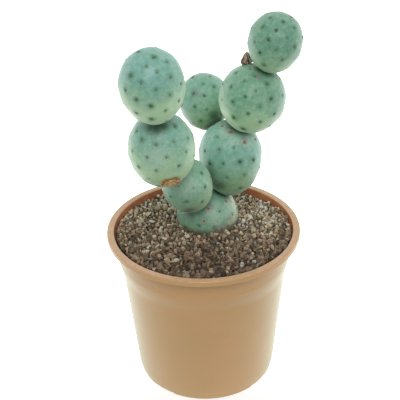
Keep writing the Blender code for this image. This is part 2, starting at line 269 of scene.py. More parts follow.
@dataclass(frozen=True)
class Sight:
    """The photograph's view: a long lens from above the front, in metres and pixels."""

    target: Place = (-0.0015, 0.0, 0.1069)
    distance: float = 0.514
    elevation: float = math.radians(30.57)
    roll: float = math.radians(-1.4)
    frame: float = 400.0
    focal: float = 960.0
    sensor: float = 36.0

    def axes(self) -> tuple[Vector, Vector, Vector]:
        """The view's own directions.

        Returns:
            Its right, up and backward directions.
        """
        back = Vector((0.0, -math.cos(self.elevation), math.sin(self.elevation)))
        level = Vector((1.0, 0.0, 0.0))
        upright = level.cross(-back)
        right = level * math.cos(self.roll) + upright * math.sin(self.roll)
        up = upright * math.cos(self.roll) - level * math.sin(self.roll)
        return right, up, back

    def eye(self) -> Vector:
        """Where the view is taken from."""
        return Vector(self.target) + self.axes()[2] * self.distance

    def ray(self, pixel: Pixel) -> Vector:
        """The direction from the eye through a pixel of the photograph.

        Args:
            pixel: Its x from the left and its y from the top.

        Returns:
            The direction, of length 1.
        """
        right, up, back = self.axes()
        across = (pixel[0] - self.frame / 2.0) / self.focal
        rise = (self.frame / 2.0 - pixel[1]) / self.focal
        return (right * across + up * rise - back).normalized()

    def make_camera(self) -> None:
        """Makes the camera and gives it to the scene."""
        data = bpy.data.cameras.new("photograph_view")
        data.sensor_width = self.sensor
        data.lens = self.sensor * self.focal / self.frame
        data.clip_start = 0.01
        camera = linked("photograph_view", data)
        turn = Matrix(self.axes()).transposed().to_4x4()
        camera.matrix_world = Matrix.Translation(self.eye()) @ turn
        bpy.context.scene.camera = camera


SIGHT = Sight()


class Nodes:
    """Builds a node tree by short calls."""

    def __init__(self, tree: bpy.types.NodeTree) -> None:
        """Takes the tree that the nodes go in."""
        self.tree = tree

    def add(self, kind: str, inputs: dict | None = None, **settings: object) -> bpy.types.Node:
        """Adds one node.

        Args:
            kind: The node's type name.
            inputs: Its inputs by name or number, each a value or another node's output.
            settings: Its own settings by name.

        Returns:
            The node.
        """
        node = self.tree.nodes.new(kind)
        for name, value in settings.items():
            setattr(node, name, value)
        for name, value in (inputs or {}).items():
            self.join(node.inputs[name], value)
        return node

    def out(self, kind: str, inputs: dict | None = None, output: str | int = 0, **settings: object) -> Socket:
        """Adds one node, and gives one of its outputs by name or number."""
        return self.add(kind, inputs, **settings).outputs[output]

    def join(self, socket: Socket, value: object) -> None:
        """Links an output to a socket, or sets the socket's own value.

        Args:
            socket: The socket.
            value: The output or the value.
        """
        if isinstance(value, Socket):
            self.tree.links.new(value, socket)
        else:
            socket.default_value = value

    def maths(self, operation: str, first: object, second: object = 0.0) -> Socket:
        """One sum of two numbers."""
        return self.out("ShaderNodeMath", {0: first, 1: second}, operation=operation)

    def plus(self, first: object, second: object) -> Socket:
        """Two numbers added."""
        return self.maths("ADD", first, second)

    def times(self, first: object, second: object) -> Socket:
        """Two numbers multiplied."""
        return self.maths("MULTIPLY", first, second)

    def centred(self, value: Socket, range_: float) -> Socket:
        """Turns a value round 0.5 into one round 0, its range from 1 into the one given."""
        return self.times(self.maths("SUBTRACT", value, 0.5), range_)

    def vector(self, operation: str, first: object, second: object) -> Socket:
        """One sum of two vectors, or of a vector and its scale."""
        inputs = {0: first, "Scale" if operation == "SCALE" else 1: second}
        return self.out("ShaderNodeVectorMath", inputs, operation=operation)

    def combined(self, x: object, y: object, z: object) -> Socket:
        """A vector of three numbers."""
        return self.out("ShaderNodeCombineXYZ", {0: x, 1: y, 2: z})

    def back(self, place: Socket) -> Socket:
        """How far back a place lies: its Y."""
        return self.out("ShaderNodeSeparateXYZ", {0: place}, "Y")

    def spread(self, value: Socket, places: Span, ends: Span) -> Socket:
        """Runs evenly from one end to the other as a value goes from one place to the other.

        Args:
            value: The value.
            places: Its places.
            ends: The ends.

        Returns:
            The number between the ends.
        """
        inputs = {"Value": value, "From Min": places[0], "From Max": places[1]}
        inputs.update({"To Min": ends[0], "To Max": ends[1]})
        return self.out("ShaderNodeMapRange", inputs, "Result")


@dataclass(frozen=True)
class Cloud:
    """A cloudy pattern: how many millimetres its patches are across, and how finely it breaks up.

    Its span is where its noise turns from nothing to all, for a pattern that is used as a share.
    """

    grain: float
    detail: float = 3.0
    rough: float = 0.55
    span: Span = (0.0, 1.0)


@dataclass(frozen=True)
class Coat:
    """A colour that lies over another, and how strongly.

    Its edge is where an amount that it follows turns from nothing to all, and its cloud breaks it up.
    """

    colour: Colour | Socket
    strength: float = 1.0
    edge: Span | None = None
    cloud: Cloud | None = None


class Paint(Nodes):
    """Builds one surface's material."""

    def __init__(self, name: str) -> None:
        """Starts a material.

        Args:
            name: The material's name.
        """
        self.material = bpy.data.materials.new(name)
        self.material.use_nodes = True
        super().__init__(self.material.node_tree)
        self.shader = self.tree.nodes["Principled BSDF"]
        self.place = self.out("ShaderNodeTexCoord", output="Object")

    def attribute(self, name: str) -> Socket:
        """A number that the mesh stores for each point."""
        return self.out("ShaderNodeAttribute", output="Fac", attribute_name=name)

    def scaled(self, grain: float) -> dict[str, object]:
        """The inputs of a pattern whose patches are about so many millimetres across."""
        return {"Vector": self.place, "Scale": 1.0 / (grain * MM)}

    def noise(self, cloud: Cloud) -> Socket:
        """A cloud's noise, from 0 to 1."""
        inputs = {**self.scaled(cloud.grain), "Detail": cloud.detail, "Roughness": cloud.rough}
        return self.out("ShaderNodeTexNoise", inputs, "Fac")

    def patches(self, cloud: Cloud) -> Socket:
        """A cloud's share, from 0 to 1."""
        return self.between(self.noise(cloud), cloud.span)

    def cells(self, grain: float) -> Socket:
        """Distances inside cells about so many millimetres across."""
        return self.out("ShaderNodeTexVoronoi", self.scaled(grain), "Distance")

    def between(self, value: object, span: Span) -> Socket:
        """Runs smoothly from 0 to 1 as the value goes through a span."""
        inputs = {"Value": value, "From Min": span[0], "From Max": span[1]}
        return self.out("ShaderNodeMapRange", inputs, "Result", interpolation_type="SMOOTHSTEP")

    def ramp(self, value: object, stops: Stops, hard: bool = False) -> Socket:
        """Turns a number into a colour.

        Args:
            value: The number, from 0 to 1.
            stops: The colours, each with the number that it starts at.
            hard: Whether they follow each other in bands, and not blended.

        Returns:
            The colour.
        """
        node = self.add("ShaderNodeValToRGB", {"Fac": value})
        ramp = node.color_ramp
        ramp.interpolation = "CONSTANT" if hard else "LINEAR"
        while len(ramp.elements) < len(stops):
            ramp.elements.new(1.0)
        for element, (position, colour) in zip(ramp.elements, stops):
            element.position = position
            element.color = (*colour, 1.0)
        return node.outputs["Color"]

    def mix(self, share: object, first: object, second: object, blend: str = "MIX") -> Socket:
        """Mixes two colours.

        Args:
            share: How much of the second there is, from 0 to 1.
            first: The first colour, as a tuple or an output.
            second: The second colour.
            blend: How the second works on the first.

        Returns:
            The mixed colour.
        """
        node = self.add("ShaderNodeMix", data_type="RGBA", blend_type=blend)
        self.join(node.inputs["Factor"], share)
        for number, value in ((6, first), (7, second)):
            self.join(node.inputs[number], (*value, 1.0) if isinstance(value, tuple) else value)
        return node.outputs[2]

    def over(self, colour: object, coat: Coat, where: Socket | None = None, weight: object = None) -> Socket:
        """Lays a coat over a colour.

        Args:
            colour: The colour.
            coat: The coat.
            where: The amount that its edge follows, or the share that it lies by if it has no edge.
            weight: One more share, which all is multiplied by.

        Returns:
            The colour with the coat on it.
        """
        share = where if coat.edge is None else self.between(where, coat.edge)
        if coat.cloud is not None:
            patches = self.patches(coat.cloud)
            share = patches if share is None else self.times(share, patches)
        if coat.strength < 1.0:
            share = self.times(share, coat.strength)
        if weight is not None:
            share = self.times(share, weight)
        return self.mix(share, colour, coat.colour)

    def bump(self, height: object, depth: float, under: Socket | None = None) -> Socket:
        """Tilts the surface by a height from 0 to 1 that stands for so many millimetres.

        Args:
            height: The height.
            depth: What it stands for, in millimetres.
            under: The normal of a relief that this one lies on.

        Returns:
            The normal.
        """
        inputs = {"Height": height, "Distance": depth * MM, "Strength": 1.0}
        if under is not None:
            inputs["Normal"] = under
        return self.out("ShaderNodeBump", inputs, "Normal")

    def bumpy(self, cloud: Cloud, depth: float, under: Socket | None = None) -> Socket:
        """Tilts the surface by a cloud's noise that stands for so many millimetres."""
        return self.bump(self.noise(cloud), depth, under)

    def finish(self, colour: object, rough: object, normal: object = None, **sockets: object) -> Material:
        """Joins the surface up.

        Args:
            colour: The base colour, as an output or as a tuple.
            rough: The roughness.
            normal: The bumped normal.
            sockets: Values for the shader's other sockets, with _ for each space in their names.

        Returns:
            The material.
        """
        self.join(self.shader.inputs["Base Color"], (*colour, 1.0) if isinstance(colour, tuple) else colour)
        self.join(self.shader.inputs["Roughness"], rough)
        if normal is not None:
            self.join(self.shader.inputs["Normal"], normal)
        for name, value in sockets.items():
            self.join(self.shader.inputs[name.replace("_", " ")], value)
        return self.material


@dataclass(frozen=True)
class PlasticFinish:
    """Tan moulded plastic, satin, that takes a pale sheen where it turns away."""

    tan: Colour = (0.470, 0.278, 0.108)
    warm: Coat = Coat((0.500, 0.284, 0.114), cloud=Cloud(38.0, 2.0, span=(0.35, 0.65)))
    faded: Coat = Coat((0.510, 0.330, 0.155), cloud=Cloud(9.0, 4.0, span=(0.60, 0.95)))
    fleck: Coat = Coat((0.62, 0.45, 0.28), 0.55, (0.055, 0.03))
    fleck_spacing: float = 5.5
    lip: Coat = Coat((0.465, 0.262, 0.135), 0.8)
    dust: Coat = Coat((0.54, 0.36, 0.25), 0.5, cloud=Cloud(2.4, span=(0.45, 0.75)))
    # the inner wall's colour: painted shade and painted light through the plastic
    inside: Coat = Coat((0.37, 0.120, 0.048))
    stain: Coat = Coat((0.510, 0.330, 0.155), 0.3, cloud=Cloud(6.0, 4.0, span=(0.45, 0.75)))
    wear: Cloud = Cloud(3.0)
    roughness: float = 0.30
    inside_roughness: float = 0.34
    roughness_range: float = 0.14
    wave: Cloud = Cloud(14.0, 1.0)
    wave_depth: float = 0.10
    grain: Cloud = Cloud(0.7, 2.0)
    grain_depth: float = 0.012

    def worn(self, paint: Paint, least: float) -> Socket:
        """A roughness that wanders up from its least value."""
        return paint.plus(paint.times(paint.noise(self.wear), self.roughness_range), least)

    def inside_painted_light_and_shade_material(self) -> Material:
        """The inner wall: plastic painted darker and redder for its shade and for light through it, without a
        sheen.

        Returns:
            The finished material.
        """
        paint = Paint("pot_plastic_inside_painted_light_and_shade")
        colour = paint.over(self.inside.colour, self.stain)
        waves = paint.bumpy(self.wave, self.wave_depth)
        return paint.finish(colour, self.worn(paint, self.inside_roughness), waves, IOR=1.45)

    def material(self) -> Material:
        """The plastic outside and on the lip, where dust lies, redder at the inner wall's edge with its
        painted shade and painted light through the plastic.

        Returns:
            The finished material.
        """
        paint = Paint("pot_plastic")
        lip = paint.attribute("lip_top")
        colour = paint.over(paint.over(self.tan, self.warm), self.faded)
        colour = paint.over(colour, self.fleck, paint.cells(self.fleck_spacing))
        colour = paint.over(paint.over(colour, self.lip, lip), self.dust, lip)
        # the inner wall's painted shade and painted light through the plastic
        colour = paint.over(colour, self.inside, paint.attribute("inner_wall"))
        waves = paint.bumpy(self.wave, self.wave_depth, paint.bumpy(self.grain, self.grain_depth))
        return paint.finish(
            colour, self.worn(paint, self.roughness), waves,
            IOR=1.45, Coat_Weight=0.35, Coat_Roughness=0.25, Coat_IOR=1.5,
            Sheen_Weight=0.32, Sheen_Roughness=0.42, Sheen_Tint=(0.50, 1.0, 0.72, 1.0),
        )


@dataclass(frozen=True)
class SkinFinish:
    """The stem's skin: blue-green wax over a greener skin, with dark areoles, scabs and cork."""

    # the foot's green where it takes its full painted light from below
    green: Colour = (0.345, 0.550, 0.300)
    low_green: Colour = (0.120, 0.265, 0.115)
    sage: Coat = Coat((0.145, 0.330, 0.200), edge=(-0.23, 0.23))
    blue: Coat = Coat((0.128, 0.325, 0.275), edge=(-0.13, 0.33))
    # painted shade that darkens the upper part of some joints
    painted_deep_shade: Coat = Coat((0.050, 0.190, 0.110), edge=(-0.23, 0.23))
    bloom: Coat = Coat((0.50, 0.64, 0.50), 0.26, (0.35, 0.70))
    speck: Coat = Coat(SHADE, 0.22, cloud=Cloud(0.55, 2.0, span=(0.60, 0.80)))
    ring: Coat = Coat((0.068, 0.190, 0.105), 0.85, (3.0, 0.4))
    pit: Coat = Coat((0.034, 0.105, 0.058), edge=(1.5, 0.3))
    # pale patches: partly the skin's own paler surround of its scabs, partly painted light where neighbours
    # shade it
    pale: Coat = Coat((0.42, 0.56, 0.44), 0.42, (0.15, 1.1))
    shaded: Coat = Coat(SHADE, 0.9)
    blush: Coat = Coat((0.20, 0.19, 0.19), 0.6, (0.25, 0.95))
    cork: Coat = Coat((0.54, 0.58, 0.41), 0.85, (0.25, 0.75))
    scab_edge: Coat = Coat((0.40, 0.40, 0.32), 0.55, (0.10, 0.55))
    scab: Coat = Coat((0.150, 0.092, 0.058), 0.9, (0.45, 0.85))
    soil: Coat = Coat((0.13, 0.100, 0.070), 0.8, (0.25, 1.0))
    # painted shade in the creases where the joints meet
    crease: Coat = Coat(SHADE, 0.94)
    waist_cloud: Cloud = Cloud(13.0)
    waist_range: float = 0.5
    areole_cloud: Cloud = Cloud(0.9)
    areole_range: float = 1.1
    ragged_cloud: Cloud = Cloud(1.1, 4.0)
    ragged_range: float = 0.9
    torn: float = 1.5
    crumbs: Cloud = Cloud(0.9, 4.0, span=(0.30, 0.46))
    mottle: Cloud = Cloud(2.2, 5.0, 0.7)
    roughness: float = 0.36
    roughness_range: float = 0.25
    pores: Cloud = Cloud(0.35, 2.0)
    pore_depth: float = 0.025
    slack_depth: float = 0.16
    dimple: Span = (0.5, 1.6)
    dimple_depth: float = 0.20

    def material(self) -> Material:
        """The skin, driven by what each joint's mesh stores for its points.

        Returns:
            The finished material.
        """
        paint = Paint("joint_skin")
        mottle = paint.noise(self.mottle)
        darkness = paint.attribute("areole_dark")
        along = self.wandering(paint, "above_waist", self.waist_cloud, self.waist_range)
        reach = self.wandering(paint, "areole_reach", self.areole_cloud, self.areole_range)
        # the foot runs from its own darker green to a lighter one, as painted light from below
        colour = paint.mix(paint.attribute("foot_light"), self.low_green, self.green)
        colour = paint.over(colour, self.sage, along)
        colour = paint.over(colour, self.blue, along, paint.attribute("blueness"))
        # painted shade on the joint's upper part, as much as its stored depth
        colour = paint.over(colour, self.painted_deep_shade, along, paint.attribute("depth"))
        colour = paint.over(colour, self.bloom, mottle)
        colour = paint.over(colour, self.speck)
        colour = paint.over(colour, self.ring, reach, darkness)
        colour = paint.over(colour, self.pit, reach, darkness)
        colour = self.with_marks(paint, colour)
        # painted shade where a neighbouring joint comes near
        colour = paint.over(colour, self.crease, paint.attribute("crease"))
        rough = paint.plus(paint.times(mottle, self.roughness_range), self.roughness)
        return paint.finish(
            colour, rough, self.relief(paint, reach, mottle), IOR=1.45, Coat_Weight=0.25, Coat_Roughness=0.30,
            Sheen_Weight=0.22, Sheen_Roughness=0.5, Sheen_Tint=(0.86, 1.0, 0.88, 1.0),
        )

    def wandering(self, paint: Paint, name: str, cloud: Cloud, range_: float) -> Socket:
        """A stored amount whose edge wanders with a cloud."""
        return paint.plus(paint.attribute(name), paint.centred(paint.noise(cloud), range_))

    def with_marks(self, paint: Paint, colour: Socket) -> Socket:
        """Lays pale patches, partly the skin's own and partly painted light, painted shade, the blush, the
        cork, the scabs and the soil's dust over the skin.

        Args:
            paint: The skin's material.
            colour: The skin's colour.

        Returns:
            The colour with the marks on it.
        """
        ragged = paint.centred(paint.noise(self.ragged_cloud), self.ragged_range)
        torn = paint.times(ragged, self.torn)
        crumbs = paint.mix(paint.patches(self.crumbs), self.soil.colour, self.cork.colour)
        # pale patches, partly the skin's own paler colour and partly painted light
        colour = paint.over(colour, self.pale, paint.plus(paint.attribute("pale"), ragged))
        colour = paint.over(colour, self.shaded, paint.attribute("shaded"))
        marks = (
            ("blush", self.blush, ragged), ("cork", replace(self.cork, colour=crumbs), ragged),
            ("scab", self.scab_edge, torn), ("scab", self.scab, torn), ("soil", self.soil, ragged),
        )
        for name, coat, edge in marks:
            colour = paint.over(colour, coat, paint.plus(paint.attribute(name), edge))
        return colour

    def relief(self, paint: Paint, reach: Socket, mottle: Socket) -> Socket:
        """The skin's fine pores, its slack wrinkles, and the dimple at each areole.

        Args:
            paint: The skin's material.
            reach: How far the nearest areole is.
            mottle: The noise that the wrinkles follow.

        Returns:
            The bumped normal.
        """
        slack = paint.bump(mottle, self.slack_depth, paint.bumpy(self.pores, self.pore_depth))
        return paint.bump(paint.between(reach, self.dimple), self.dimple_depth, slack)


@dataclass(frozen=True)
class GritFinish:
    """Mineral grit: each grain has a colour of its own, by the number that it stores."""

    stops: tuple[tuple[float, Colour], ...] = (
        (0.00, (0.085, 0.058, 0.042)),
        (0.12, (0.155, 0.112, 0.080)),
        (0.30, (0.215, 0.165, 0.118)),
        (0.50, (0.270, 0.200, 0.145)),
        (0.66, (0.330, 0.262, 0.190)),
        (0.78, (0.215, 0.200, 0.165)),
        (0.86, (0.245, 0.145, 0.098)),
        (0.90, (0.430, 0.355, 0.262)),
        (0.965, (0.520, 0.490, 0.440)),
        (0.980, (0.050, 0.038, 0.030)),
    )
    front_cast: Colour = (0.66, 0.58, 0.49)
    back_cast: Colour = (2.55, 2.70, 2.50)
    lightest: Colour = (0.66, 0.62, 0.52)
    cast_places: Span = (-0.034, 0.040)
    cast_cloud: Cloud = Cloud(16.0, 2.0)
    cast_wander: float = 0.04
    # dark fine grit, darkened further as painted shade in the gaps between grains
    bed: Stops = ((0.0, (0.17, 0.13, 0.095)), (0.7, (0.040, 0.030, 0.022)))
    bed_grain: float = 1.2
    fine: Cloud = Cloud(0.5, 4.0, 0.7)
    pore: Coat = Coat((0.07, 0.05, 0.035), edge=(0.52, 0.34))
    dust: Coat = Coat((0.62, 0.56, 0.47), 0.35, (0.58, 0.8))
    pore_depth: float = 0.16
    roughness: float = 0.88

    def material(self) -> Material:
        """The loose grains, darker in front and paler behind.

        Returns:
            The finished material.
        """
        paint = Paint("grit_grain")
        colour = paint.ramp(paint.attribute("grain_tone"), self.stops, hard=True)
        wander = paint.centred(paint.noise(self.cast_cloud), self.cast_wander)
        place = paint.between(paint.plus(paint.back(paint.place), wander), self.cast_places)
        cast = paint.mix(place, self.front_cast, self.back_cast)
        # each grain's random lightness times its layer's, which is partly painted shade in the gaps
        light = paint.attribute("grain_lightness_and_gap_shade")
        colour = paint.mix(1.0, colour, cast, "MULTIPLY")
        colour = paint.mix(1.0, colour, paint.combined(light, light, light), "MULTIPLY")
        return self.stone(paint, paint.mix(1.0, colour, self.lightest, "DARKEN"))

    def bed_material_with_gap_shade(self) -> Material:
        """The dark fine grit between and under the grains, darkened further as painted shade in the gaps."""
        paint = Paint("grit_bed")
        return self.stone(paint, paint.ramp(paint.cells(self.bed_grain), self.bed))

    def stone(self, paint: Paint, colour: Socket) -> Material:
        """Gives a stone's colour its pores, its dust and its rough face.

        Args:
            paint: The stone's material.
            colour: Its colour.

        Returns:
            The finished material.
        """
        fine = paint.noise(self.fine)
        colour = paint.over(paint.over(colour, self.pore, fine), self.dust, fine)
        return paint.finish(colour, self.roughness, paint.bump(fine, self.pore_depth), IOR=1.4)


@dataclass(frozen=True)
class StoneFinish:
    """One kind of the larger stones: two colours in fine patches."""

    slot: Slot
    main: Colour
    other: Colour
    cloud: Cloud = Cloud(1.3, 4.0, 0.65, (0.40, 0.62))

    def material(self) -> Material:
        """The stone."""
        paint = Paint(self.slot.value)
        return GritFinish().stone(paint, paint.mix(paint.patches(self.cloud), self.main, self.other))


STONE_FINISHES = (
    StoneFinish(Slot.PALE, (0.62, 0.61, 0.52), (0.43, 0.40, 0.33)),
    StoneFinish(Slot.GREY, (0.33, 0.305, 0.255), (0.21, 0.175, 0.135)),
    StoneFinish(Slot.BROWN, (0.34, 0.225, 0.165), (0.21, 0.130, 0.090)),
    StoneFinish(Slot.TAN, (0.47, 0.37, 0.235), (0.31, 0.225, 0.140)),
)


@dataclass(frozen=True)
class FoldFinish:
    """Dry ridges or folds, coloured by how far a point stands out of those round it."""

    slot: Slot
    stops: Stops
    edge: Cloud
    edge_range: float
    roughness: float
    relief: Cloud
    depth: float
    ior: float

    def material(self) -> Material:
        """The ridges or folds.

        Returns:
            The finished material.
        """
        paint = Paint(self.slot.value)
        crest = paint.plus(paint.attribute("crest"), paint.times(paint.noise(self.edge), self.edge_range))
        relief = paint.bumpy(self.relief, self.depth)
        return paint.finish(paint.ramp(crest, self.stops), self.roughness, relief, IOR=self.ior)


CORK_FINISH = FoldFinish(
    Slot.CORK, ((0.25, (0.170, 0.098, 0.040)), (0.55, (0.42, 0.245, 0.085)), (0.95, (0.50, 0.43, 0.245))),
    edge=Cloud(0.8, 4.0), edge_range=0.3, roughness=0.82, relief=Cloud(0.4, 4.0), depth=0.12, ior=1.4,
)
BUD_FINISH = FoldFinish(
    Slot.BUD, ((0.30, (0.035, 0.022, 0.017)), (0.55, (0.115, 0.072, 0.052)), (1.0, (0.43, 0.33, 0.25))),
    edge=Cloud(0.9, 4.0), edge_range=0.35, roughness=0.9, relief=Cloud(0.5, 4.0), depth=0.15, ior=1.35,
)


@dataclass(frozen=True)
class DryFinish:
    """The root's bark, the areoles' wool and their bristles."""

    bark: Stops = ((0.3, (0.10, 0.06, 0.03)), (0.7, (0.33, 0.22, 0.12)))
    fibres: Cloud = Cloud(1.6, 5.0, 0.7)
    fibre_depth: float = 0.3
    bark_roughness: float = 0.9
    wool: Coat = Coat((0.180, 0.190, 0.065), edge=(0.35, 0.7))
    wool_dark: Colour = (0.028, 0.085, 0.046)
    wool_faint: Colour = (0.140, 0.270, 0.165)
    wool_roughness: float = 0.95
    felt: Cloud = Cloud(0.25, 3.0, 0.7)
    felt_depth: float = 0.12
    bristle: Colour = (0.24, 0.28, 0.14)
    bristle_foot: Colour = (0.055, 0.095, 0.050)
    bristle_cloud: Cloud = Cloud(1.5, 1.0)
    bristle_roughness: float = 0.55

    def barky(self) -> Material:
        """The root's rough bark.

        Returns:
            The finished material.
        """
        paint = Paint("root_bark")
        fibres = paint.noise(self.fibres)
        relief = paint.bump(fibres, self.fibre_depth)
        return paint.finish(paint.ramp(fibres, self.bark), self.bark_roughness, relief)

    def woolly(self) -> Material:
        """The felt of an areole, browner or darker by the numbers that it stores.

        Returns:
            The finished material.
        """
        paint = Paint("areole_wool")
        felt = paint.noise(self.felt)
        colour = paint.over(self.wool_dark, self.wool, felt, paint.attribute("brown"))
        colour = paint.mix(paint.attribute("dark"), self.wool_faint, colour)
        relief = paint.bump(felt, self.felt_depth)
        return paint.finish(colour, self.wool_roughness, relief, IOR=1.3, Sheen_Weight=0.1)

    def bristly(self) -> Material:
        """The short bristles.

        Returns:
            The finished material.
        """
        paint = Paint("areole_bristle")
        colour = paint.mix(paint.noise(self.bristle_cloud), self.bristle, self.bristle_foot)
        colour = paint.mix(paint.attribute("dark"), self.wool_faint, colour)
        return paint.finish(colour, self.bristle_roughness, IOR=1.45)


@dataclass
class Pot:
    """The pot, in millimetres: a turned shell with a flat lip, a collar, a shoulder and a foot ring."""

    height: float = 90.2
    rim_radius: float = 52.5
    lip_width: float = 3.9
    lip_depth: float = 3.1
    lip_round: float = 0.7
    lip_waist: Span = (0.22, 1.15)
    lip_seat: float = 0.8
    overhang: float = 0.9
    fillet: float = 0.7
    wall: float = 1.1
    wall_drop: float = 0.4
    collar_top: float = 48.1
    collar_foot: Span = (46.8, 71.0)
    shoulder: Span = (45.0, 66.2)
    step_heights: Span = (77.5, 63.5)
    step_rows: int = 56
    step_spread: Span = (1.25, -0.1)
    mould_lines: Span = (75.4, 70.0)
    line_height: float = 0.06
    line_width: float = 0.35
    wall_foot: Span = (39.2, 7.5)
    foot_bend: Span = (38.8, 4.0)
    foot_radius: float = 37.7
    foot_round: float = 1.0
    foot_ring: float = 2.6
    ring_bevel: float = 0.3
    ring_draft: float = 0.4
    floor_underside: float = 2.2
    floor: float = 1.4
    floor_round: float = 2.4
    floor_inset: float = 3.0
    drain_holes: int = 8
    drain_radius: float = 3.2
    drain_circle: float = 27.0
    middle_drain_radius: float = 4.0
    drain_sides: int = 36
    arches: int = 4
    arch_width: float = 13.5
    arch_height: float = 1.1
    arch_turn: float = math.radians(-39.3)
    overcut: float = 4.0
    inside_from: float = 1.0
    inside_reach: float = 0.15
    inside_top: float = 0.45
    lip_fade: Span = (0.5, 0.4)
    steps: int = 192
    arc_points: int = 7
    sharp_angle: float = math.radians(38.0)
    finish: PlasticFinish = field(default_factory=PlasticFinish)

    def arc(self, centre: Span, radius: float, start: float, end: float) -> list[Span]:
        """Points on an arc of the outline.

        Args:
            centre: Its centre.
            radius: Its radius.
            start: The angle that it starts at, in degrees from outward towards up.
            end: The angle that it ends at.

        Returns:
            The points in order.
        """
        step = (end - start) / (self.arc_points - 1)
        angles = [math.radians(start + step * i) for i in range(self.arc_points)]
        return [(centre[0] + radius * math.cos(a), centre[1] + radius * math.sin(a)) for a in angles]

    def step(self) -> list[Span]:
        """The soft step from the collar in to the wall, with the faint moulding lines that cross it.

        Returns:
            Its points from the top down.
        """
        collar_lean = (self.collar_top - self.collar_foot[0]) / (self.height - self.collar_foot[1])
        wall_lean = (self.shoulder[0] - self.wall_foot[0]) / (self.shoulder[1] - self.wall_foot[1])
        points = []
        for i in range(self.step_rows + 1):
            share = i / self.step_rows
            height = self.step_heights[0] + (self.step_heights[1] - self.step_heights[0]) * share
            share = min(max(share * self.step_spread[0] + self.step_spread[1], 0.0), 1.0)
            share *= share * (3.0 - 2.0 * share)
            collar = self.collar_foot[0] + collar_lean * (height - self.collar_foot[1])
            wall = self.shoulder[0] + wall_lean * (height - self.shoulder[1])
            line = sum(math.exp(-(((height - place) / self.line_width) ** 2)) for place in self.mould_lines)
            points.append(((1.0 - share) * collar + share * wall + self.line_height * line, height))
        return points

    def outside(self) -> list[Span]:
        """The outline of the pot's outside.

        Returns:
            Its points from the lip's top round to the middle of the underside.
        """
        lip_foot = self.height - self.lip_depth
        rim = self.rim_radius - self.lip_round
        neck = (self.collar_top + self.fillet, lip_foot - self.fillet)
        foot = (self.foot_radius - self.fillet, self.foot_round)
        ring_inner = self.foot_radius - self.foot_ring
        return [
            *self.arc((rim, self.height - self.lip_round), self.lip_round, 90, 0),
            (self.rim_radius - self.lip_waist[0], lip_foot + self.lip_waist[1]),
            *self.arc((rim, lip_foot + self.lip_round), self.lip_round, 0, -90),
            (self.collar_top + self.overhang, lip_foot),
            *self.arc(neck, self.fillet, 90, 180),
            *self.step(),
            self.wall_foot,
            self.foot_bend,
            *self.arc(foot, self.foot_round, 10, -90),
            (ring_inner + self.ring_bevel, 0.0),
            (ring_inner, self.ring_bevel),
            (ring_inner - self.ring_draft, self.floor_underside),
            (0.0, self.floor_underside),
        ]

    def inside(self) -> list[Span]:
        """The outline of the pot's inside.

        Returns:
            Its points from the middle of the floor up the inner wall and over the lip's inner edge.
        """
        floor_top = self.floor_underside + self.floor
        corner = (self.wall_foot[0] - self.wall - self.floor_inset, floor_top + self.floor_round)
        lip_inner = self.rim_radius - self.lip_width
        lip_edge = (lip_inner + self.lip_round, self.height - self.lip_round)
        return [
            (0.0, floor_top),
            *self.arc(corner, self.floor_round, -90, 0),
            (self.shoulder[0] - self.wall, self.shoulder[1] - self.wall_drop),
            (self.collar_foot[0] - self.wall, self.collar_foot[1] - self.wall_drop),
            (self.collar_top - self.wall, self.height - self.lip_depth - self.lip_seat),
            *self.arc(lip_edge, self.lip_round, 180, 90),
        ]

    def around(self, radius: float, angle: float, height: float) -> Matrix:
        """Moves a shape to a place round the pot's axis."""
        place = Vector((radius * math.cos(angle), radius * math.sin(angle), height)) * MM
        return Matrix.Translation(place)

    def cutters(self) -> Object:
        """Makes the drain holes and the foot's arches.

        Returns:
            One object that is cut from the shell.
        """
        shape = bmesh.new()
        for i in range(self.drain_holes + 1):
            middle = i == self.drain_holes
            radius = (self.middle_drain_radius if middle else self.drain_radius) * MM
            angle = math.tau * (i + 0.5) / self.drain_holes
            place = self.around(0.0 if middle else self.drain_circle, angle, self.floor_underside)
            bmesh.ops.create_cone(
                shape, cap_ends=True, segments=self.drain_sides, radius1=radius, radius2=radius,
                depth=self.overcut * self.floor * MM, matrix=place,
            )
        arch = Vector((self.overcut * self.foot_ring, self.arch_width, 2.0 * self.arch_height)) * MM
        for i in range(self.arches):
            angle = self.arch_turn + math.tau * i / self.arches
            turn = self.around(self.foot_radius, angle, 0.0) @ Matrix.Rotation(angle, 4, "Z")
            bmesh.ops.create_cube(shape, size=1.0, matrix=turn @ Matrix.Diagonal((*arch, 1.0)))
        return drawn_object("pot_cutters", shape)

    def build(self) -> None:
        """Builds the pot, marks its lip and its inner wall, and dresses it."""
        shell = turned("shell", [*self.inside(), *self.outside()], self.steps)
        cutters = self.cutters()
        cut = shell.modifiers.new("cut", "BOOLEAN")
        cut.operation = "DIFFERENCE"
        cut.solver = "EXACT"
        cut.object = cutters
        pot = evaluated(shell, "plastic_pot")
        bpy.data.objects.remove(cutters, do_unlink=True)
        pot.data.shade_smooth()
        pot.data.set_sharp_from_angle(angle=self.sharp_angle)
        inner = self.mark(pot)
        pot.data.materials.append(self.finish.material())
        # the inner wall takes the painted shade and painted light through the plastic
        pot.data.materials.append(self.finish.inside_painted_light_and_shade_material())
        for face in pot.data.polygons:
            face.material_index = int(inner[list(face.vertices)].all())
        keep(pot, Slot.POT, "pot")

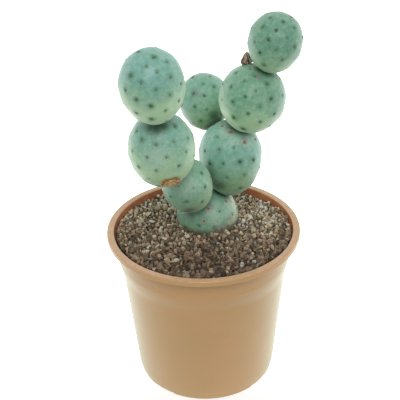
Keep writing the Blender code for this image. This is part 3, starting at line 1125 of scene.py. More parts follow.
    def mark(self, pot: Object) -> np.ndarray:
        """Stores where the pot's inner wall and its lip's top are.

        Args:
            pot: The pot's mesh object.

        Returns:
            Whether each point lies on the inner wall.
        """
        points = np.array([vertex.co for vertex in pot.data.vertices]) / MM
        radius, height = np.hypot(points[:, 0], points[:, 1]), points[:, 2]
        slope = (self.collar_top - self.wall_foot[0]) / (self.height - self.wall_foot[1])
        middle = self.wall_foot[0] - 0.5 * self.wall + slope * (height - self.wall_foot[1])
        inner = (radius < middle) & (height > self.floor_underside + self.inside_from)
        lip_inner = self.rim_radius - self.lip_width
        inner |= (radius < lip_inner + self.inside_reach) & (height > self.height - self.lip_depth)
        inner &= height < self.height - self.inside_top
        lip_top = np.clip((height - self.height + self.lip_fade[0]) / self.lip_fade[1], 0.0, 1.0)
        store(pot, inner_wall=inner.astype(float), lip_top=lip_top)
        return inner


class MarkKind(Enum):
    """What a mark on the skin is."""

    SCAB = "scab"
    BLUSH = "blush"
    CORK = "cork"
    # partly the skin's own paler patches and partly painted light
    PALE = "pale"
    SHADED = "shaded"


SCAB, BLUSH, CORK, PALE, SHADED = MarkKind


@dataclass(frozen=True)
class Tone:
    """How one joint's colour differs, each from 0 to 1.

    The waist is how far up the joint the green of its foot gives way to its blue.
    """

    blueness: float
    brown: float
    # how much painted light from below the joint's foot takes
    foot_light: float
    waist: float
    # how much painted shade darkens the joint's upper part
    depth: float = 0.0


@dataclass(frozen=True)
class Joint:
    """One joint of the stem, in millimetres: an egg shape, its narrow end down.

    The areoles that the photograph shows are given by their pixels, and the others follow a spiral. A
    mark is given by its pixel too, as x, y and the mark's radius in millimetres.
    """

    place: str
    centre: Place
    radius: float
    half_length: float
    taper: float
    tip: Place
    tone: Tone
    areoles: tuple[Pixel, ...]
    marks: dict[MarkKind, tuple[Spot, ...]] = field(default_factory=dict)

    @property
    def node(self) -> str:
        """The solid that this joint replaces."""
        return f"{self.place}_joint"

    def surface(self, directions: np.ndarray) -> np.ndarray:
        """Where the skin lies.

        Args:
            directions: Directions in the joint's own axes.

        Returns:
            A point for each, in the frame's millimetres.
        """
        height = directions[:, 2]
        girth = self.radius * (1.0 + self.taper * height)
        own = np.stack([directions[:, 0] * girth, directions[:, 1] * girth, height * self.half_length], 1)
        return own @ own_axes(self.tip).T + np.array(self.centre)

    def outward(self, points: np.ndarray) -> np.ndarray:
        """The skin's outward direction.

        Args:
            points: Points on it, in the frame's millimetres.

        Returns:
            A direction for each.
        """
        own = (points - np.array(self.centre)) @ own_axes(self.tip)
        lean = own / np.array([self.radius**2, self.radius**2, self.half_length**2])
        lean[:, 2] -= self.taper * np.hypot(own[:, 0], own[:, 1]) / (self.radius * self.half_length)
        found = lean @ own_axes(self.tip).T
        return found / np.linalg.norm(found, axis=1)[:, None]

    def clearance(self, points: np.ndarray) -> np.ndarray:
        """About how far points lie outside this joint.

        Args:
            points: The points, in the frame's millimetres.

        Returns:
            A distance for each, below 0 inside the joint.
        """
        own = (points - np.array(self.centre)) @ own_axes(self.tip)
        height = np.clip(own[:, 2] / self.half_length, -1.0, 1.0)
        girth = self.radius * (1.0 + self.taper * height)
        across = np.hypot(own[:, 0], own[:, 1])
        reach = np.hypot(across / girth, own[:, 2] / self.half_length)
        slope = np.hypot(across / girth**2, own[:, 2] / self.half_length**2) / np.maximum(reach, TINY)
        return (reach - 1.0) / np.maximum(slope, TINY)


JOINTS = (
    Joint(
        "base", (2.5, 12.9, 89.8), 17.1, 16.9, 0.0, (0.03, 0.02, 1.0), Tone(0.35, 0.5, 0.35, 0.50),
        ((210.0, 193.0), (219.5, 211.5), (199.0, 226.0), (232.5, 214.5)),
        {
            SCAB: (
                (208.0, 208.5, 1.4), (204.0, 221.5, 1.0), (226.5, 201.0, 1.6), (216.0, 230.5, 1.5),
                (222.0, 229.0, 1.6), (228.0, 226.0, 1.6),
            ),
            BLUSH: ((209.0, 207.5, 3.4), (204.0, 221.5, 2.4), (216.0, 229.0, 2.8), (223.0, 227.0, 2.8)),
            CORK: (
                (232.5, 200.5, 2.2), (234.5, 206.0, 3.0), (235.5, 212.0, 3.4), (234.5, 218.0, 3.2),
                (230.0, 222.0, 2.4),
            ),
            PALE: ((229.5, 205.0, 4.0), (230.0, 213.5, 5.5), (217.0, 216.0, 6.5), (216.0, 204.0, 3.5)),
            SHADED: ((236.0, 207.0, 0.9), (229.5, 220.5, 1.8), (190.5, 212.5, 2.8)),
        },
    ),
    Joint(
        "lower_left", (-7.7, -4.8, 118.3), 13.3, 18.8, 0.10, (-0.20, -0.54, 0.82),
        Tone(0.25, 0.35, 0.5, 0.62),
        ((171.0, 197.0), (186.5, 202.0), (201.6, 173.0), (193.5, 188.6), (205.0, 187.0), (202.0, 202.0)),
        {SCAB: ((178.8, 186.5, 0.9),), PALE: ((190.0, 186.0, 7.0),), SHADED: ((190.0, 210.0, 3.0),)},
    ),
    Joint(
        "middle_left", (-19.6, -24.6, 150.3), 16.6, 21.6, 0.06, (-0.05, -0.37, 0.93),
        Tone(0.75, 1.0, 0.80, 0.68, 0.10),
        (
            (137.0, 131.0), (175.0, 126.0), (142.0, 140.0), (156.0, 145.0), (174.0, 142.0), (188.0, 138.0),
            (147.0, 157.5), (166.5, 157.5), (186.0, 152.0), (133.0, 151.0), (179.0, 166.0), (156.0, 171.0),
            (139.0, 167.0), (149.0, 179.0),
        ),
        {
            CORK: ((149.0, 179.5, 1.2),), PALE: ((158.0, 158.0, 9.0),),
            SHADED: ((157.0, 129.5, 3.6), (150.0, 128.0, 2.4), (163.5, 127.5, 2.4)),
        },
    ),
    Joint(
        "upper_left", (-22.3, -35.3, 188.9), 15.4, 19.1, 0.06, (-0.08, -0.22, 0.97),
        Tone(1.0, 1.0, 0.9, 0.56, 0.13),
        (
            (146.0, 66.0), (157.5, 72.0), (171.0, 77.0), (141.0, 83.0), (156.0, 90.0), (170.0, 95.0),
            (131.0, 76.0), (126.0, 90.0), (136.5, 99.5), (151.0, 106.0), (165.6, 111.0), (136.5, 113.0),
            (151.6, 119.0), (154.0, 57.0), (167.0, 62.0), (181.0, 84.0), (179.0, 101.0),
        ),
        {BLUSH: ((170.0, 77.0, 1.6),)},
    ),
    Joint(
        "lower_right", (15.4, 15.6, 123.7), 17.1, 21.2, 0.09, (0.0, 0.15, 0.99), Tone(0.75, 0.15, 0.35, 0.34),
        (
            (217.0, 137.0), (219.0, 150.0), (205.0, 151.0), (234.0, 148.0), (223.0, 164.0), (240.0, 162.0),
            (253.0, 160.0), (210.0, 164.0), (227.0, 178.0), (244.0, 175.0), (240.0, 188.0),
        ),
        {
            SCAB: ((222.0, 125.7, 1.5), (230.5, 132.1, 1.7), (244.6, 142.3, 1.7)),
            BLUSH: ((229.0, 129.0, 3.4), (244.6, 141.0, 2.8), (219.0, 151.0, 1.8)),
            PALE: ((236.0, 138.5, 5.5), (225.0, 132.0, 5.0), (249.0, 141.0, 5.0)),
            SHADED: ((220.0, 186.0, 3.6),),
        },
    ),
    Joint(
        "rear", (2.3, 37.2, 147.5), 14.0, 16.0, 0.07, (-0.13, 0.62, 0.77), Tone(0.55, 0.1, 0.20, 0.27, 0.18),
        (
            (193.5, 93.5), (204.2, 95.8), (203.0, 84.0), (214.0, 87.0), (210.0, 76.5), (195.0, 107.0),
            (207.0, 110.0), (201.0, 121.0),
        ),
        {BLUSH: ((196.0, 92.5, 2.2),), SHADED: ((214.0, 116.0, 3.6),)},
    ),
    Joint(
        "upper_right", (26.7, 12.2, 160.1), 17.4, 18.3, 0.03, (0.29, -0.10, 0.95),
        Tone(0.20, 0.1, 1.0, 0.47, 0.36),
        (
            (250.0, 69.0), (236.0, 73.0), (244.0, 80.5), (255.0, 76.0), (267.0, 84.0), (231.0, 87.0),
            (256.0, 91.0), (245.0, 97.0), (271.0, 99.0), (233.0, 102.0), (260.0, 107.0), (248.0, 114.0),
            (274.0, 114.0), (260.0, 122.0),
        ),
        {BLUSH: ((258.5, 76.5, 2.6),)},
    ),
    Joint(
        "top_right", (37.9, 9.9, 191.4), 13.95, 15.7, 0.05, (0.23, -0.05, 0.97),
        Tone(0.40, 0.1, 0.5, 0.36, 0.68),
        (
            (266.6, 13.4), (270.0, 18.0), (283.0, 22.0), (291.0, 17.0), (263.0, 27.0), (276.0, 30.0),
            (294.0, 28.0), (268.0, 40.0), (287.0, 38.0), (255.0, 42.0), (276.0, 50.0), (294.0, 47.0),
            (260.0, 53.0), (282.0, 60.0), (264.0, 65.0),
        ),
    ),
)


@dataclass
class Areole:
    """One areole, in the frame's millimetres: its place, its outward direction, and its tuft's looks."""

    place: np.ndarray
    outward: np.ndarray
    size: float
    brown: float
    dark: float


@dataclass
class Stem:
    """The stem's joints: their skin's shape in millimetres, and what each point of it stores."""

    bed_level: float
    joints: tuple[Joint, ...] = JOINTS
    ball_splits: int = 6
    areole_spacing: float = 8.3
    areole_rise: float = 2.5
    areole_clearance: float = 0.6
    areole_sizes: Span = (0.75, 1.2)
    darkness: Span = (0.22, 1.0)
    candidates: int = 420
    boss_height: float = 0.28
    boss_reach: float = 3.2
    dimple_depth: float = 0.38
    dimple_reach: float = 0.9
    swell: float = 0.30
    swell_grain: float = 13.0
    slack: float = 0.06
    slack_grain: float = 2.6
    crease_reach: float = 1.7
    crease_fall: float = 1.4
    soil_rise: float = 1.5
    soil_reach: float = 4.5
    finish: SkinFinish = field(default_factory=SkinFinish)
    areoles: list[Areole] = field(default_factory=list)

    def build(self) -> None:
        """Builds the eight joints and collects their areoles."""
        directions, faces = ball(self.ball_splits)
        material = self.finish.material()
        for joint in self.joints:
            skin = joint.surface(directions)
            tree = BVHTree.FromPolygons([tuple(point) for point in skin], faces)
            own = self.place_areoles(joint, tree)
            piece = mesh_object(f"{joint.place}_stem_joint", self.shape(joint, skin, own) * MM, faces)
            self.store_tone(piece, joint, directions[:, 2], skin)
            self.store_areoles(piece, skin, own)
            self.store_marks(piece, joint, tree, skin)
            piece.data.materials.append(material)
            keep(piece, Slot.SKIN, joint.node)
            self.areoles.extend(own)

    def seen(self, tree: BVHTree, pixel: Pixel) -> Vector | None:
        """Where the photograph's pixel meets a joint's skin, in the frame's millimetres."""
        return tree.ray_cast(SIGHT.eye() / MM, SIGHT.ray(pixel))[0]

    def place_areoles(self, joint: Joint, tree: BVHTree) -> list[Areole]:
        """Places a joint's areoles: first those in the photograph, then the rest on a spiral.

        Args:
            joint: The joint.
            tree: Its skin, to be met by the photograph's pixels.

        Returns:
            The areoles that are not hidden in a neighbour or under the grit.
        """
        rng = random.Random(joint.place)
        found = [self.seen(tree, pixel) for pixel in joint.areoles]
        places = [np.array(place) for place in found if place is not None]
        order = np.arange(self.candidates) + 0.5
        height = 1.0 - 2.0 * order / self.candidates
        angle = order * GOLDEN_ANGLE
        across = np.sqrt(1.0 - height**2)
        for point in joint.surface(np.stack([across * np.cos(angle), across * np.sin(angle), height], 1)):
            if all(np.linalg.norm(point - other) > self.areole_spacing for other in places):
                places.append(point)
        spots = np.array(places)
        free = spots[:, 2] > self.bed_level + self.areole_rise
        for other in self.joints:
            if other is not joint:
                free &= other.clearance(spots) > self.areole_clearance
        spots, made = spots[free], []
        for spot, outward in zip(spots, joint.outward(spots)):
            size, dark = rng.uniform(*self.areole_sizes), rng.uniform(*self.darkness)
            made.append(Areole(spot, outward, size, joint.tone.brown, dark))
        return made

    def shape(self, joint: Joint, skin: np.ndarray, areoles: list[Areole]) -> np.ndarray:
        """Gives a joint's skin its swells, and each areole its low boss and its dimple.

        Args:
            joint: The joint.
            skin: Its points.
            areoles: Its areoles.

        Returns:
            The points, moved in or out.
        """
        reach = self.to_areoles(skin, areoles).min(axis=1)
        boss = self.boss_height * np.exp(-((reach / self.boss_reach) ** 2))
        dimple = self.dimple_depth * np.exp(-((reach / self.dimple_reach) ** 2))
        swell = np.array([noise.noise(Vector(point) / self.swell_grain) for point in skin])
        slack = np.array([noise.noise(Vector(point) / self.slack_grain) for point in skin])
        rise = boss - dimple + self.swell * (swell - 0.5) + self.slack * slack
        return skin + joint.outward(skin) * rise[:, None]

    def to_areoles(self, points: np.ndarray, areoles: list[Areole]) -> np.ndarray:
        """Each point's distance to each areole, one row for each point."""
        spots = np.array([areole.place for areole in areoles])
        return np.linalg.norm(points[:, None] - spots[None], axis=2)

    def store_tone(self, piece: Object, joint: Joint, height: np.ndarray, skin: np.ndarray) -> None:
        """Stores how the joint's colour runs with its painted light and shade, its painted shade near a
        neighbour, and where soil clings.

        Args:
            piece: The joint's mesh object.
            joint: The joint.
            height: How high each point lies on the joint, from -1 to 1.
            skin: Each point's place before it was shaped.
        """
        tone = joint.tone
        apart = np.min([other.clearance(skin) for other in self.joints if other is not joint], axis=0)
        # painted shade, fading with the distance to the nearest neighbouring joint
        crease = np.exp(-((np.maximum(apart, 0.0) / self.crease_reach) ** self.crease_fall))
        above = skin[:, 2] - self.bed_level - self.soil_rise
        soil = np.clip(1.0 - above / self.soil_reach, 0.0, 1.0) if joint is self.joints[0] else 0.0
        store(
            piece, above_waist=0.5 + 0.5 * height - tone.waist, blueness=tone.blueness,
            foot_light=tone.foot_light, depth=tone.depth, crease=crease, soil=soil,
        )

    def store_areoles(self, piece: Object, skin: np.ndarray, areoles: list[Areole]) -> None:
        """Stores how far the nearest areole is, measured by its size, and how dark it is.

        Args:
            piece: The joint's mesh object.
            skin: Each point's place before it was shaped.
            areoles: The joint's areoles.
        """
        reach = self.to_areoles(skin, areoles)
        sizes, darks = np.array([(areole.size, areole.dark) for areole in areoles])[reach.argmin(axis=1)].T
        store(piece, areole_reach=reach.min(axis=1) / sizes, areole_dark=darks)

    def store_marks(self, piece: Object, joint: Joint, tree: BVHTree, skin: np.ndarray) -> None:
        """Stores how much of each kind of mark each point has.

        Args:
            piece: The joint's mesh object.
            joint: The joint.
            tree: Its skin, to be met by the photograph's pixels.
            skin: Each point's place before it was shaped.
        """
        for kind in MarkKind:
            amount = np.zeros(len(skin))
            for across, down, radius in joint.marks.get(kind, ()):
                spot = self.seen(tree, (across, down))
                if spot is not None:
                    away = np.linalg.norm(skin - np.array(spot), axis=1) / radius
                    amount = np.maximum(amount, np.exp(-(away**2)))
            store(piece, **{kind.value: amount})


class Growth(Nodes):
    """Builds a Geometry Nodes tree, and runs it on an object."""

    SOCKETS = {int: "Int", float: "Float", Material: "Material"}
    CHANCES = {"FLOAT": (2, 1), "FLOAT_VECTOR": (0, 0), "INT": (4, 2)}

    def __init__(self, name: str, sizes: dict[str, object]) -> None:
        """Starts a tree.

        Args:
            name: The name of the tree and of the piece that it makes.
            sizes: The values of its inputs by name: counts, lengths in metres, shares or a material.
        """
        super().__init__(bpy.data.node_groups.new(name, "GeometryNodeTree"))
        self.sizes = {}
        for side in ("INPUT", "OUTPUT"):
            self.tree.interface.new_socket("Geometry", in_out=side, socket_type="NodeSocketGeometry")
        for title, value in sizes.items():
            kind = f"NodeSocket{self.SOCKETS[type(value)]}"
            socket = self.tree.interface.new_socket(title, in_out="INPUT", socket_type=kind)
            self.sizes[socket.identifier] = value
        self.given = self.add("NodeGroupInput").outputs

    def chance(self, low: object, high: object, seed: int, kind: str = "FLOAT") -> Socket:
        """A random number or vector for each point.

        Args:
            low: Its least value.
            high: Its greatest value.
            seed: Its seed.
            kind: What it is.

        Returns:
            The number or vector.
        """
        first, output = self.CHANCES[kind]
        inputs = {first: low, first + 1: high, "Seed": seed}
        return self.out("FunctionNodeRandomValue", inputs, output, data_type=kind)

    def read(self, name: str, kind: str = "FLOAT") -> Socket:
        """A stored attribute of the points."""
        return self.out("GeometryNodeInputNamedAttribute", {"Name": name}, data_type=kind)

    def put(self, shape: Socket, name: str, value: Socket, domain: str, kind: str = "FLOAT") -> Socket:
        """Stores a value as a named attribute of the points or of the instances."""
        inputs = {"Geometry": shape, "Name": name, "Value": value}
        return self.out("GeometryNodeStoreNamedAttribute", inputs, data_type=kind, domain=domain)

    def aimed(self, direction: Socket) -> Socket:
        """A turn that brings Z to a direction."""
        return self.out("FunctionNodeAlignRotationToVector", {"Vector": direction}, axis="Z")

    def moved(self, shape: Socket, offset: Socket) -> Socket:
        """A shape whose points are moved."""
        return self.out("GeometryNodeSetPosition", {"Geometry": shape, "Offset": offset})

    def strewn(self, points: Socket, shape: Socket, turn: Socket, scale: Socket, **picks: object) -> Socket:
        """Puts a shape at each point.

        Args:
            points: The points.
            shape: The shape, or several to pick from.
            turn: How it is turned.
            scale: How it is scaled.
            picks: The node's other inputs, with _ for each space in their names.

        Returns:
            The instances.
        """
        inputs = {"Points": points, "Instance": shape, "Rotation": turn, "Scale": scale}
        inputs.update({name.replace("_", " "): value for name, value in picks.items()})
        return self.out("GeometryNodeInstanceOnPoints", inputs)

    def grow(self, source: Object, shape: Socket) -> Object:
        """Ends the tree in Realize Instances and Set Material, and runs it.

        Args:
            source: The object that the tree starts from, which is removed.
            shape: The geometry that the tree has made.

        Returns:
            The plain mesh piece.
        """
        real = self.out("GeometryNodeRealizeInstances", {"Geometry": shape})
        dressed = self.out("GeometryNodeSetMaterial", {"Geometry": real, "Material": self.given["Material"]})
        self.add("NodeGroupOutput", {"Geometry": dressed})
        modifier = source.modifiers.new(self.tree.name, "NODES")
        modifier.node_group = self.tree
        for identifier, value in self.sizes.items():
            modifier[identifier] = value
        return evaluated(source, self.tree.name)


@dataclass
class Areoles:
    """The felt cushions and the short bristles on the stem's areoles, in millimetres.

    The corners are those of the solids' box, which no bristle may pass.
    """

    spots: list[Areole]
    corners: tuple[Vector, Vector]
    sunk: float = 0.22
    margin: float = 0.25
    shortest: float = 0.25
    cushion_radius: float = 0.50
    cushion_height: float = 0.28
    cushion_rough: float = 0.7
    cushion_lumps: float = 2.4
    bristles: int = 9
    bristle_length: float = 1.10
    bristle_lengths: Span = (0.55, 1.1)
    bristle_radius: float = 0.035
    splay: float = 0.75
    finish: DryFinish = field(default_factory=DryFinish)

    def anchor(self) -> Object:
        """Makes loose points at the areoles, which store their direction, their size and their colour.

        Returns:
            The points' object.
        """
        outward = np.array([spot.outward for spot in self.spots])
        places = np.array([spot.place for spot in self.spots]) - self.sunk * outward
        size, brown, dark = np.array([(spot.size, spot.brown, spot.dark) for spot in self.spots]).T
        low, high = (np.array(corner) / MM for corner in self.corners)
        to_wall = np.where(outward > 0.0, high - places, places - low)
        room = (to_wall / np.maximum(np.abs(outward), TINY)).min(axis=1) - self.margin
        held = np.clip(room / (self.bristle_length * size), self.shortest, 1.0)
        made = mesh_object("areole_points", places * MM, [])
        store(made, outward=outward, scale=size * held, brown=brown, dark=dark)
        return made

    def build_wool(self) -> None:
        """Sets one low felt cushion in each areole."""
        sizes = {
            "Radius": self.cushion_radius * MM, "Height": self.cushion_height * MM,
            "Material": self.finish.woolly(),
        }
        nodes = Growth("areole_wool", sizes)
        lump = nodes.out("GeometryNodeMeshIcoSphere", {"Radius": 1.0, "Subdivisions": 2}, "Mesh")
        place = nodes.out("GeometryNodeInputPosition")
        rough = nodes.out("ShaderNodeTexNoise", {"Vector": place, "Scale": self.cushion_lumps}, "Fac")
        lump = nodes.moved(lump, nodes.vector("SCALE", place, nodes.centred(rough, self.cushion_rough)))
        wide = nodes.times(nodes.given["Radius"], nodes.read("scale"))
        size = nodes.combined(wide, wide, nodes.given["Height"])
        turn = nodes.aimed(nodes.read("outward", "FLOAT_VECTOR"))
        felt = nodes.strewn(nodes.given["Geometry"], lump, turn, size)
        keep(nodes.grow(self.anchor(), felt), Slot.CORK)

    def build_bristles(self) -> None:
        """Sets a tuft of short splayed bristles in each areole."""
        sizes = {
            "Bristles": self.bristles, "Length": self.bristle_length * MM,
            "Thickness": self.bristle_radius * MM, "Spread": 0.5 * self.cushion_radius * MM,
            "Splay": self.splay, "Material": self.finish.bristly(),
        }
        nodes = Growth("areole_bristles", sizes)
        given = nodes.given
        copies = {"Geometry": given["Geometry"], "Amount": given["Bristles"]}
        tuft = nodes.out("GeometryNodeDuplicateElements", copies, domain="POINT")
        wander = nodes.chance((-1.0, -1.0, -1.0), (1.0, 1.0, 1.0), SEED, "FLOAT_VECTOR")
        outward = nodes.read("outward", "FLOAT_VECTOR")
        along = nodes.out("ShaderNodeVectorMath", {0: wander, 1: outward}, "Value", operation="DOT_PRODUCT")
        sideways = nodes.vector("SUBTRACT", wander, nodes.vector("SCALE", outward, along))
        tuft = nodes.put(tuft, "sideways", sideways, "POINT", "FLOAT_VECTOR")
        sideways = nodes.read("sideways", "FLOAT_VECTOR")
        tuft = nodes.moved(tuft, nodes.vector("SCALE", sideways, given["Spread"]))
        lean = nodes.vector("ADD", outward, nodes.vector("SCALE", sideways, given["Splay"]))
        sides = {"Vertices": 3, "Radius Top": 0.0, "Radius Bottom": 1.0, "Depth": 1.0}
        cone = nodes.out("GeometryNodeMeshCone", sides, "Mesh")
        length = nodes.times(given["Length"], nodes.chance(*self.bristle_lengths, SEED + 1))
        length = nodes.times(length, nodes.read("scale"))
        size = nodes.combined(given["Thickness"], given["Thickness"], length)
        bristles = nodes.strewn(tuft, cone, nodes.aimed(lean), size)
        keep(nodes.grow(self.anchor(), bristles), Slot.CORK)


@dataclass(frozen=True)
class GrainLayer:
    """One size of loose grain, in millimetres, and how it lies."""

    name: str
    radius: float
    spread: float
    spacing: float
    rise: float
    corners: int
    seed: int
    # how light the layer's grains are: the finer, lower ones partly darker of their own, partly painted shade
    # in the gaps
    light: float


@dataclass
class GritBed:
    """The grit, in millimetres: a rough bed, dark as fine grit and painted shade, and layers of loose grains
    over it.
    """

    stones: tuple[Spot, ...]
    level: float = 86.4
    mound_height: float = 1.9
    mound_reach: float = 24.0
    rough: float = 0.45
    rough_grain: float = 3.2
    crumbs: float = 0.35
    crumb_grain: float = 0.9
    wall_rise: float = 2.7
    back_bank: float = 0.22
    rise_from: float = 42.6
    stem: Spot = (2.5, 12.9, 17.0)
    edge_radius: float = 46.6
    edge_overlap: float = 1.0
    side: tuple[Span, ...] = ((45.4, 70.7), (43.6, 65.8), (35.6, 6.2), (0.0, 3.9))
    sunk: float = 0.9
    patch_sunk: float = 0.3
    rings: int = 70
    steps: int = 180
    cell: float = 1.0
    shapes: int = 9
    stretch: Place = (1.04, 0.88, 0.76)
    stretch_step: Place = (0.05, 0.0, -0.03)
    front_growth: float = 1.25
    back_growth: float = 0.84
    light_range: Span = (0.38, 1.62)
    density: float = 4.0e6
    seeds_apart: int = 20
    layers: tuple[GrainLayer, ...] = (
        # the finer, lower layers are darker, partly their own colour and partly painted shade in the gaps
        GrainLayer("grit_fine", 0.60, 0.30, 0.92, -0.50, 10, 3, 0.38),
        GrainLayer("grit_medium", 0.96, 0.28, 1.50, -0.10, 12, 5, 0.80),
        GrainLayer("grit_coarse", 1.34, 0.30, 2.20, 0.45, 13, 11, 1.22),
    )
    finish: GritFinish = field(default_factory=GritFinish)

    def height(self, x: float, y: float) -> float:
        """How high the grit stands: heaped round the stem and banked at the front wall.

        Args:
            x: How far right the place is.
            y: How far back it is.

        Returns:
            The grit's height there.
        """
        away = math.hypot(x - self.stem[0], y - self.stem[1]) / self.mound_reach
        rough = self.rough * noise.noise(Vector((x, y, SEED)) / self.rough_grain)
        near_wall = max(0.0, math.hypot(x, y) - self.rise_from) / (self.edge_radius - self.rise_from)
        bank = self.wall_rise * near_wall * min(1.0, max(self.back_bank, 1.0 - y / self.rise_from))
        return self.level + self.mound_height * math.exp(-away * away) + rough + bank

    def build(self) -> None:
        """Builds the bed and its layers of grains."""
        top = [(self.edge_radius * i / self.rings, self.level) for i in range(self.rings + 1)]
        bed = turned("grit_underlay", [*top, *self.side], self.steps)
        for vertex in bed.data.vertices:
            if vertex.co.z > self.level * MM - WELD:
                x, y = vertex.co.x / MM, vertex.co.y / MM
                crumbs = self.crumbs * noise.noise(Vector((x, y, 0.0)) / self.crumb_grain)
                vertex.co.z = (self.height(x, y) - self.sunk + crumbs) * MM
        bed.data.shade_smooth()
        bed.data.materials.append(self.finish.bed_material_with_gap_shade())
        keep(bed, Slot.GRIT, "grit_bed")
        material = self.finish.material()
        for layer in self.layers:
            self.scatter(layer, material)

    def patch(self, layer: GrainLayer) -> Object:
        """Makes the surface that a layer lies on: the bed's top, clear of the wall and of the stem.

        Args:
            layer: The layer.

        Returns:
            The surface's object.
        """
        shape = bmesh.new()
        count = int(2.0 * self.edge_radius / self.cell)
        bmesh.ops.create_grid(shape, x_segments=count, y_segments=count, size=self.edge_radius)
        far = [face for face in shape.faces if not self.holds(face.calc_center_median(), layer)]
        bmesh.ops.delete(shape, geom=far, context="FACES")
        for vertex in shape.verts:
            x, y = vertex.co.x, vertex.co.y
            vertex.co = Vector((x, y, self.height(x, y) + layer.rise - self.patch_sunk)) * MM
        return drawn_object(f"{layer.name}_patch", shape)

    def holds(self, place: Vector, layer: GrainLayer) -> bool:
        """Whether a grain may lie at a place.

        Args:
            place: The place.
            layer: The grain's layer.

        Returns:
            True if it lies inside the pot and clear of the stem and the larger stones.
        """
        inside = math.hypot(place.x, place.y) < self.edge_radius + self.edge_overlap - layer.radius
        gaps = [math.hypot(place.x - x, place.y - y) - reach for x, y, reach in (self.stem, *self.stones)]
        return inside and min(gaps) > 0.5 * layer.radius

    def scatter(self, layer: GrainLayer, material: Material) -> None:
        """Scatters one layer's grains, each an angular stone of one of a few shapes.

        Args:
            layer: The layer.
            material: The grains' material.
        """
        sizes = {
            "Radius": layer.radius * MM, "Spread": layer.spread, "Spacing": layer.spacing * MM,
            "Light": layer.light, "Corners": layer.corners, "Material": material,
        }
        nodes = Growth(layer.name, sizes)
        given, seed = nodes.given, layer.seed
        spread = {"Mesh": given["Geometry"], "Distance Min": given["Spacing"], "Seed": seed}
        spread["Density Max"] = self.density
        points = nodes.out(
            "GeometryNodeDistributePointsOnFaces", spread, "Points", distribute_method="POISSON"
        )
        turn = nodes.chance((0.0, 0.0, 0.0), (math.tau, math.tau, math.tau), seed + 1, "FLOAT_VECTOR")
        least = nodes.times(given["Radius"], nodes.maths("SUBTRACT", 1.0, given["Spread"]))
        most = nodes.times(given["Radius"], nodes.plus(1.0, given["Spread"]))
        reach = self.edge_radius * MM
        back = nodes.back(nodes.out("GeometryNodeInputPosition"))
        growth = nodes.spread(back, (-reach, reach), (self.front_growth, self.back_growth))
        size = nodes.times(nodes.chance(least, most, seed + 2), growth)
        pick = nodes.chance(0, self.shapes - 1, seed + 3, "INT")
        stones = self.grain_shapes(nodes, seed * self.seeds_apart)
        grains = nodes.strewn(points, stones, turn, size, Pick_Instance=True, Instance_Index=pick)
        grains = nodes.put(grains, "grain_tone", nodes.chance(0.0, 1.0, seed + 4), "INSTANCE")
        light = nodes.times(given["Light"], nodes.chance(*self.light_range, seed + 6))
        grains = nodes.put(grains, "grain_lightness_and_gap_shade", light, "INSTANCE")
        keep(nodes.grow(self.patch(layer), grains), Slot.GRIT)

    def grain_shapes(self, nodes: Growth, first_seed: int) -> Socket:
        """Makes the shapes that a layer's grains have: hulls of a few points on a stretched ball.

        Args:
            nodes: The layer's tree.
            first_seed: The first shape's seed.

        Returns:
            The shapes, as instances to pick from.
        """
        shapes = nodes.add("GeometryNodeJoinGeometry")
        for number in range(self.shapes):
            corner = nodes.chance((-1.0, -1.0, -1.0), (1.0, 1.0, 1.0), first_seed + number, "FLOAT_VECTOR")
            rounded = nodes.out("ShaderNodeVectorMath", {0: corner}, operation="NORMALIZE")
            stretch = [size + step * number for size, step in zip(self.stretch, self.stretch_step)]
            cloud = {"Count": nodes.given["Corners"], "Position": nodes.vector("MULTIPLY", rounded, stretch)}
            hull = nodes.out("GeometryNodeConvexHull", {"Geometry": nodes.out("GeometryNodePoints", cloud)})
            flat = nodes.out("GeometryNodeSetShadeSmooth", {"Geometry": hull, "Shade Smooth": False})
            nodes.join(shapes.inputs[0], nodes.out("GeometryNodeGeometryToInstance", {"Geometry": flat}))
        return shapes.outputs[0]


@dataclass
class Stones:
    """The larger stones that can be told apart, each a broken stone in its solid's place."""

    slots: dict[str, Slot]
    flats: int = 15
    flat_depths: Span = (0.72, 0.98)
    worn: Span = (0.97, 0.05)
    worn_scale: float = 3.0
    kept_clear: float = 0.4
    ball_splits: int = 4

    def footprints(self) -> tuple[Spot, ...]:
        """Where loose grains don't lie.

        Returns:
            Each stone's x, y and the reach that they keep clear of, in millimetres.
        """
        boxes = [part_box(name) for name in self.slots]
        middles = [((low + high) / 2.0 / MM, (high - low) / MM) for low, high in boxes]
        return tuple((place.x, place.y, self.kept_clear * min(size.x, size.y)) for place, size in middles)

    def build(self) -> None:
        """Builds every stone."""
        directions, faces = ball(self.ball_splits)
        materials = {finish.slot: finish.material() for finish in STONE_FINISHES}
        for name, slot in self.slots.items():
            low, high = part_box(name)
            reach = self.broken(directions, random.Random(name))
            points = directions * reach[:, None] * (np.array(high - low) / 2.0) + np.array(low + high) / 2.0
            stone = mesh_object(f"{name}_rock", points, faces)
            stone.data.materials.append(materials[slot])
            keep(stone, slot, name)

    def broken(self, directions: np.ndarray, rng: random.Random) -> np.ndarray:
        """How far a broken stone reaches: to the nearest of its flats, worn a little.

        Args:
            directions: The directions.
            rng: What its flats are drawn from.

        Returns:
            The reach in each direction, 1 at most but for the wear.
        """
        flats = [Vector([rng.gauss(0.0, 1.0) for _ in range(3)]).normalized() for _ in range(self.flats)]
        depths = np.array([rng.uniform(*self.flat_depths) for _ in flats])
        facing = np.maximum(directions @ np.array(flats).T, TINY)
        reach = (depths / facing).min(axis=1)
        wear = self.worn[0] + self.worn[1] * lumps(directions, self.worn_scale)
        return np.minimum(reach, 1.0) * wear


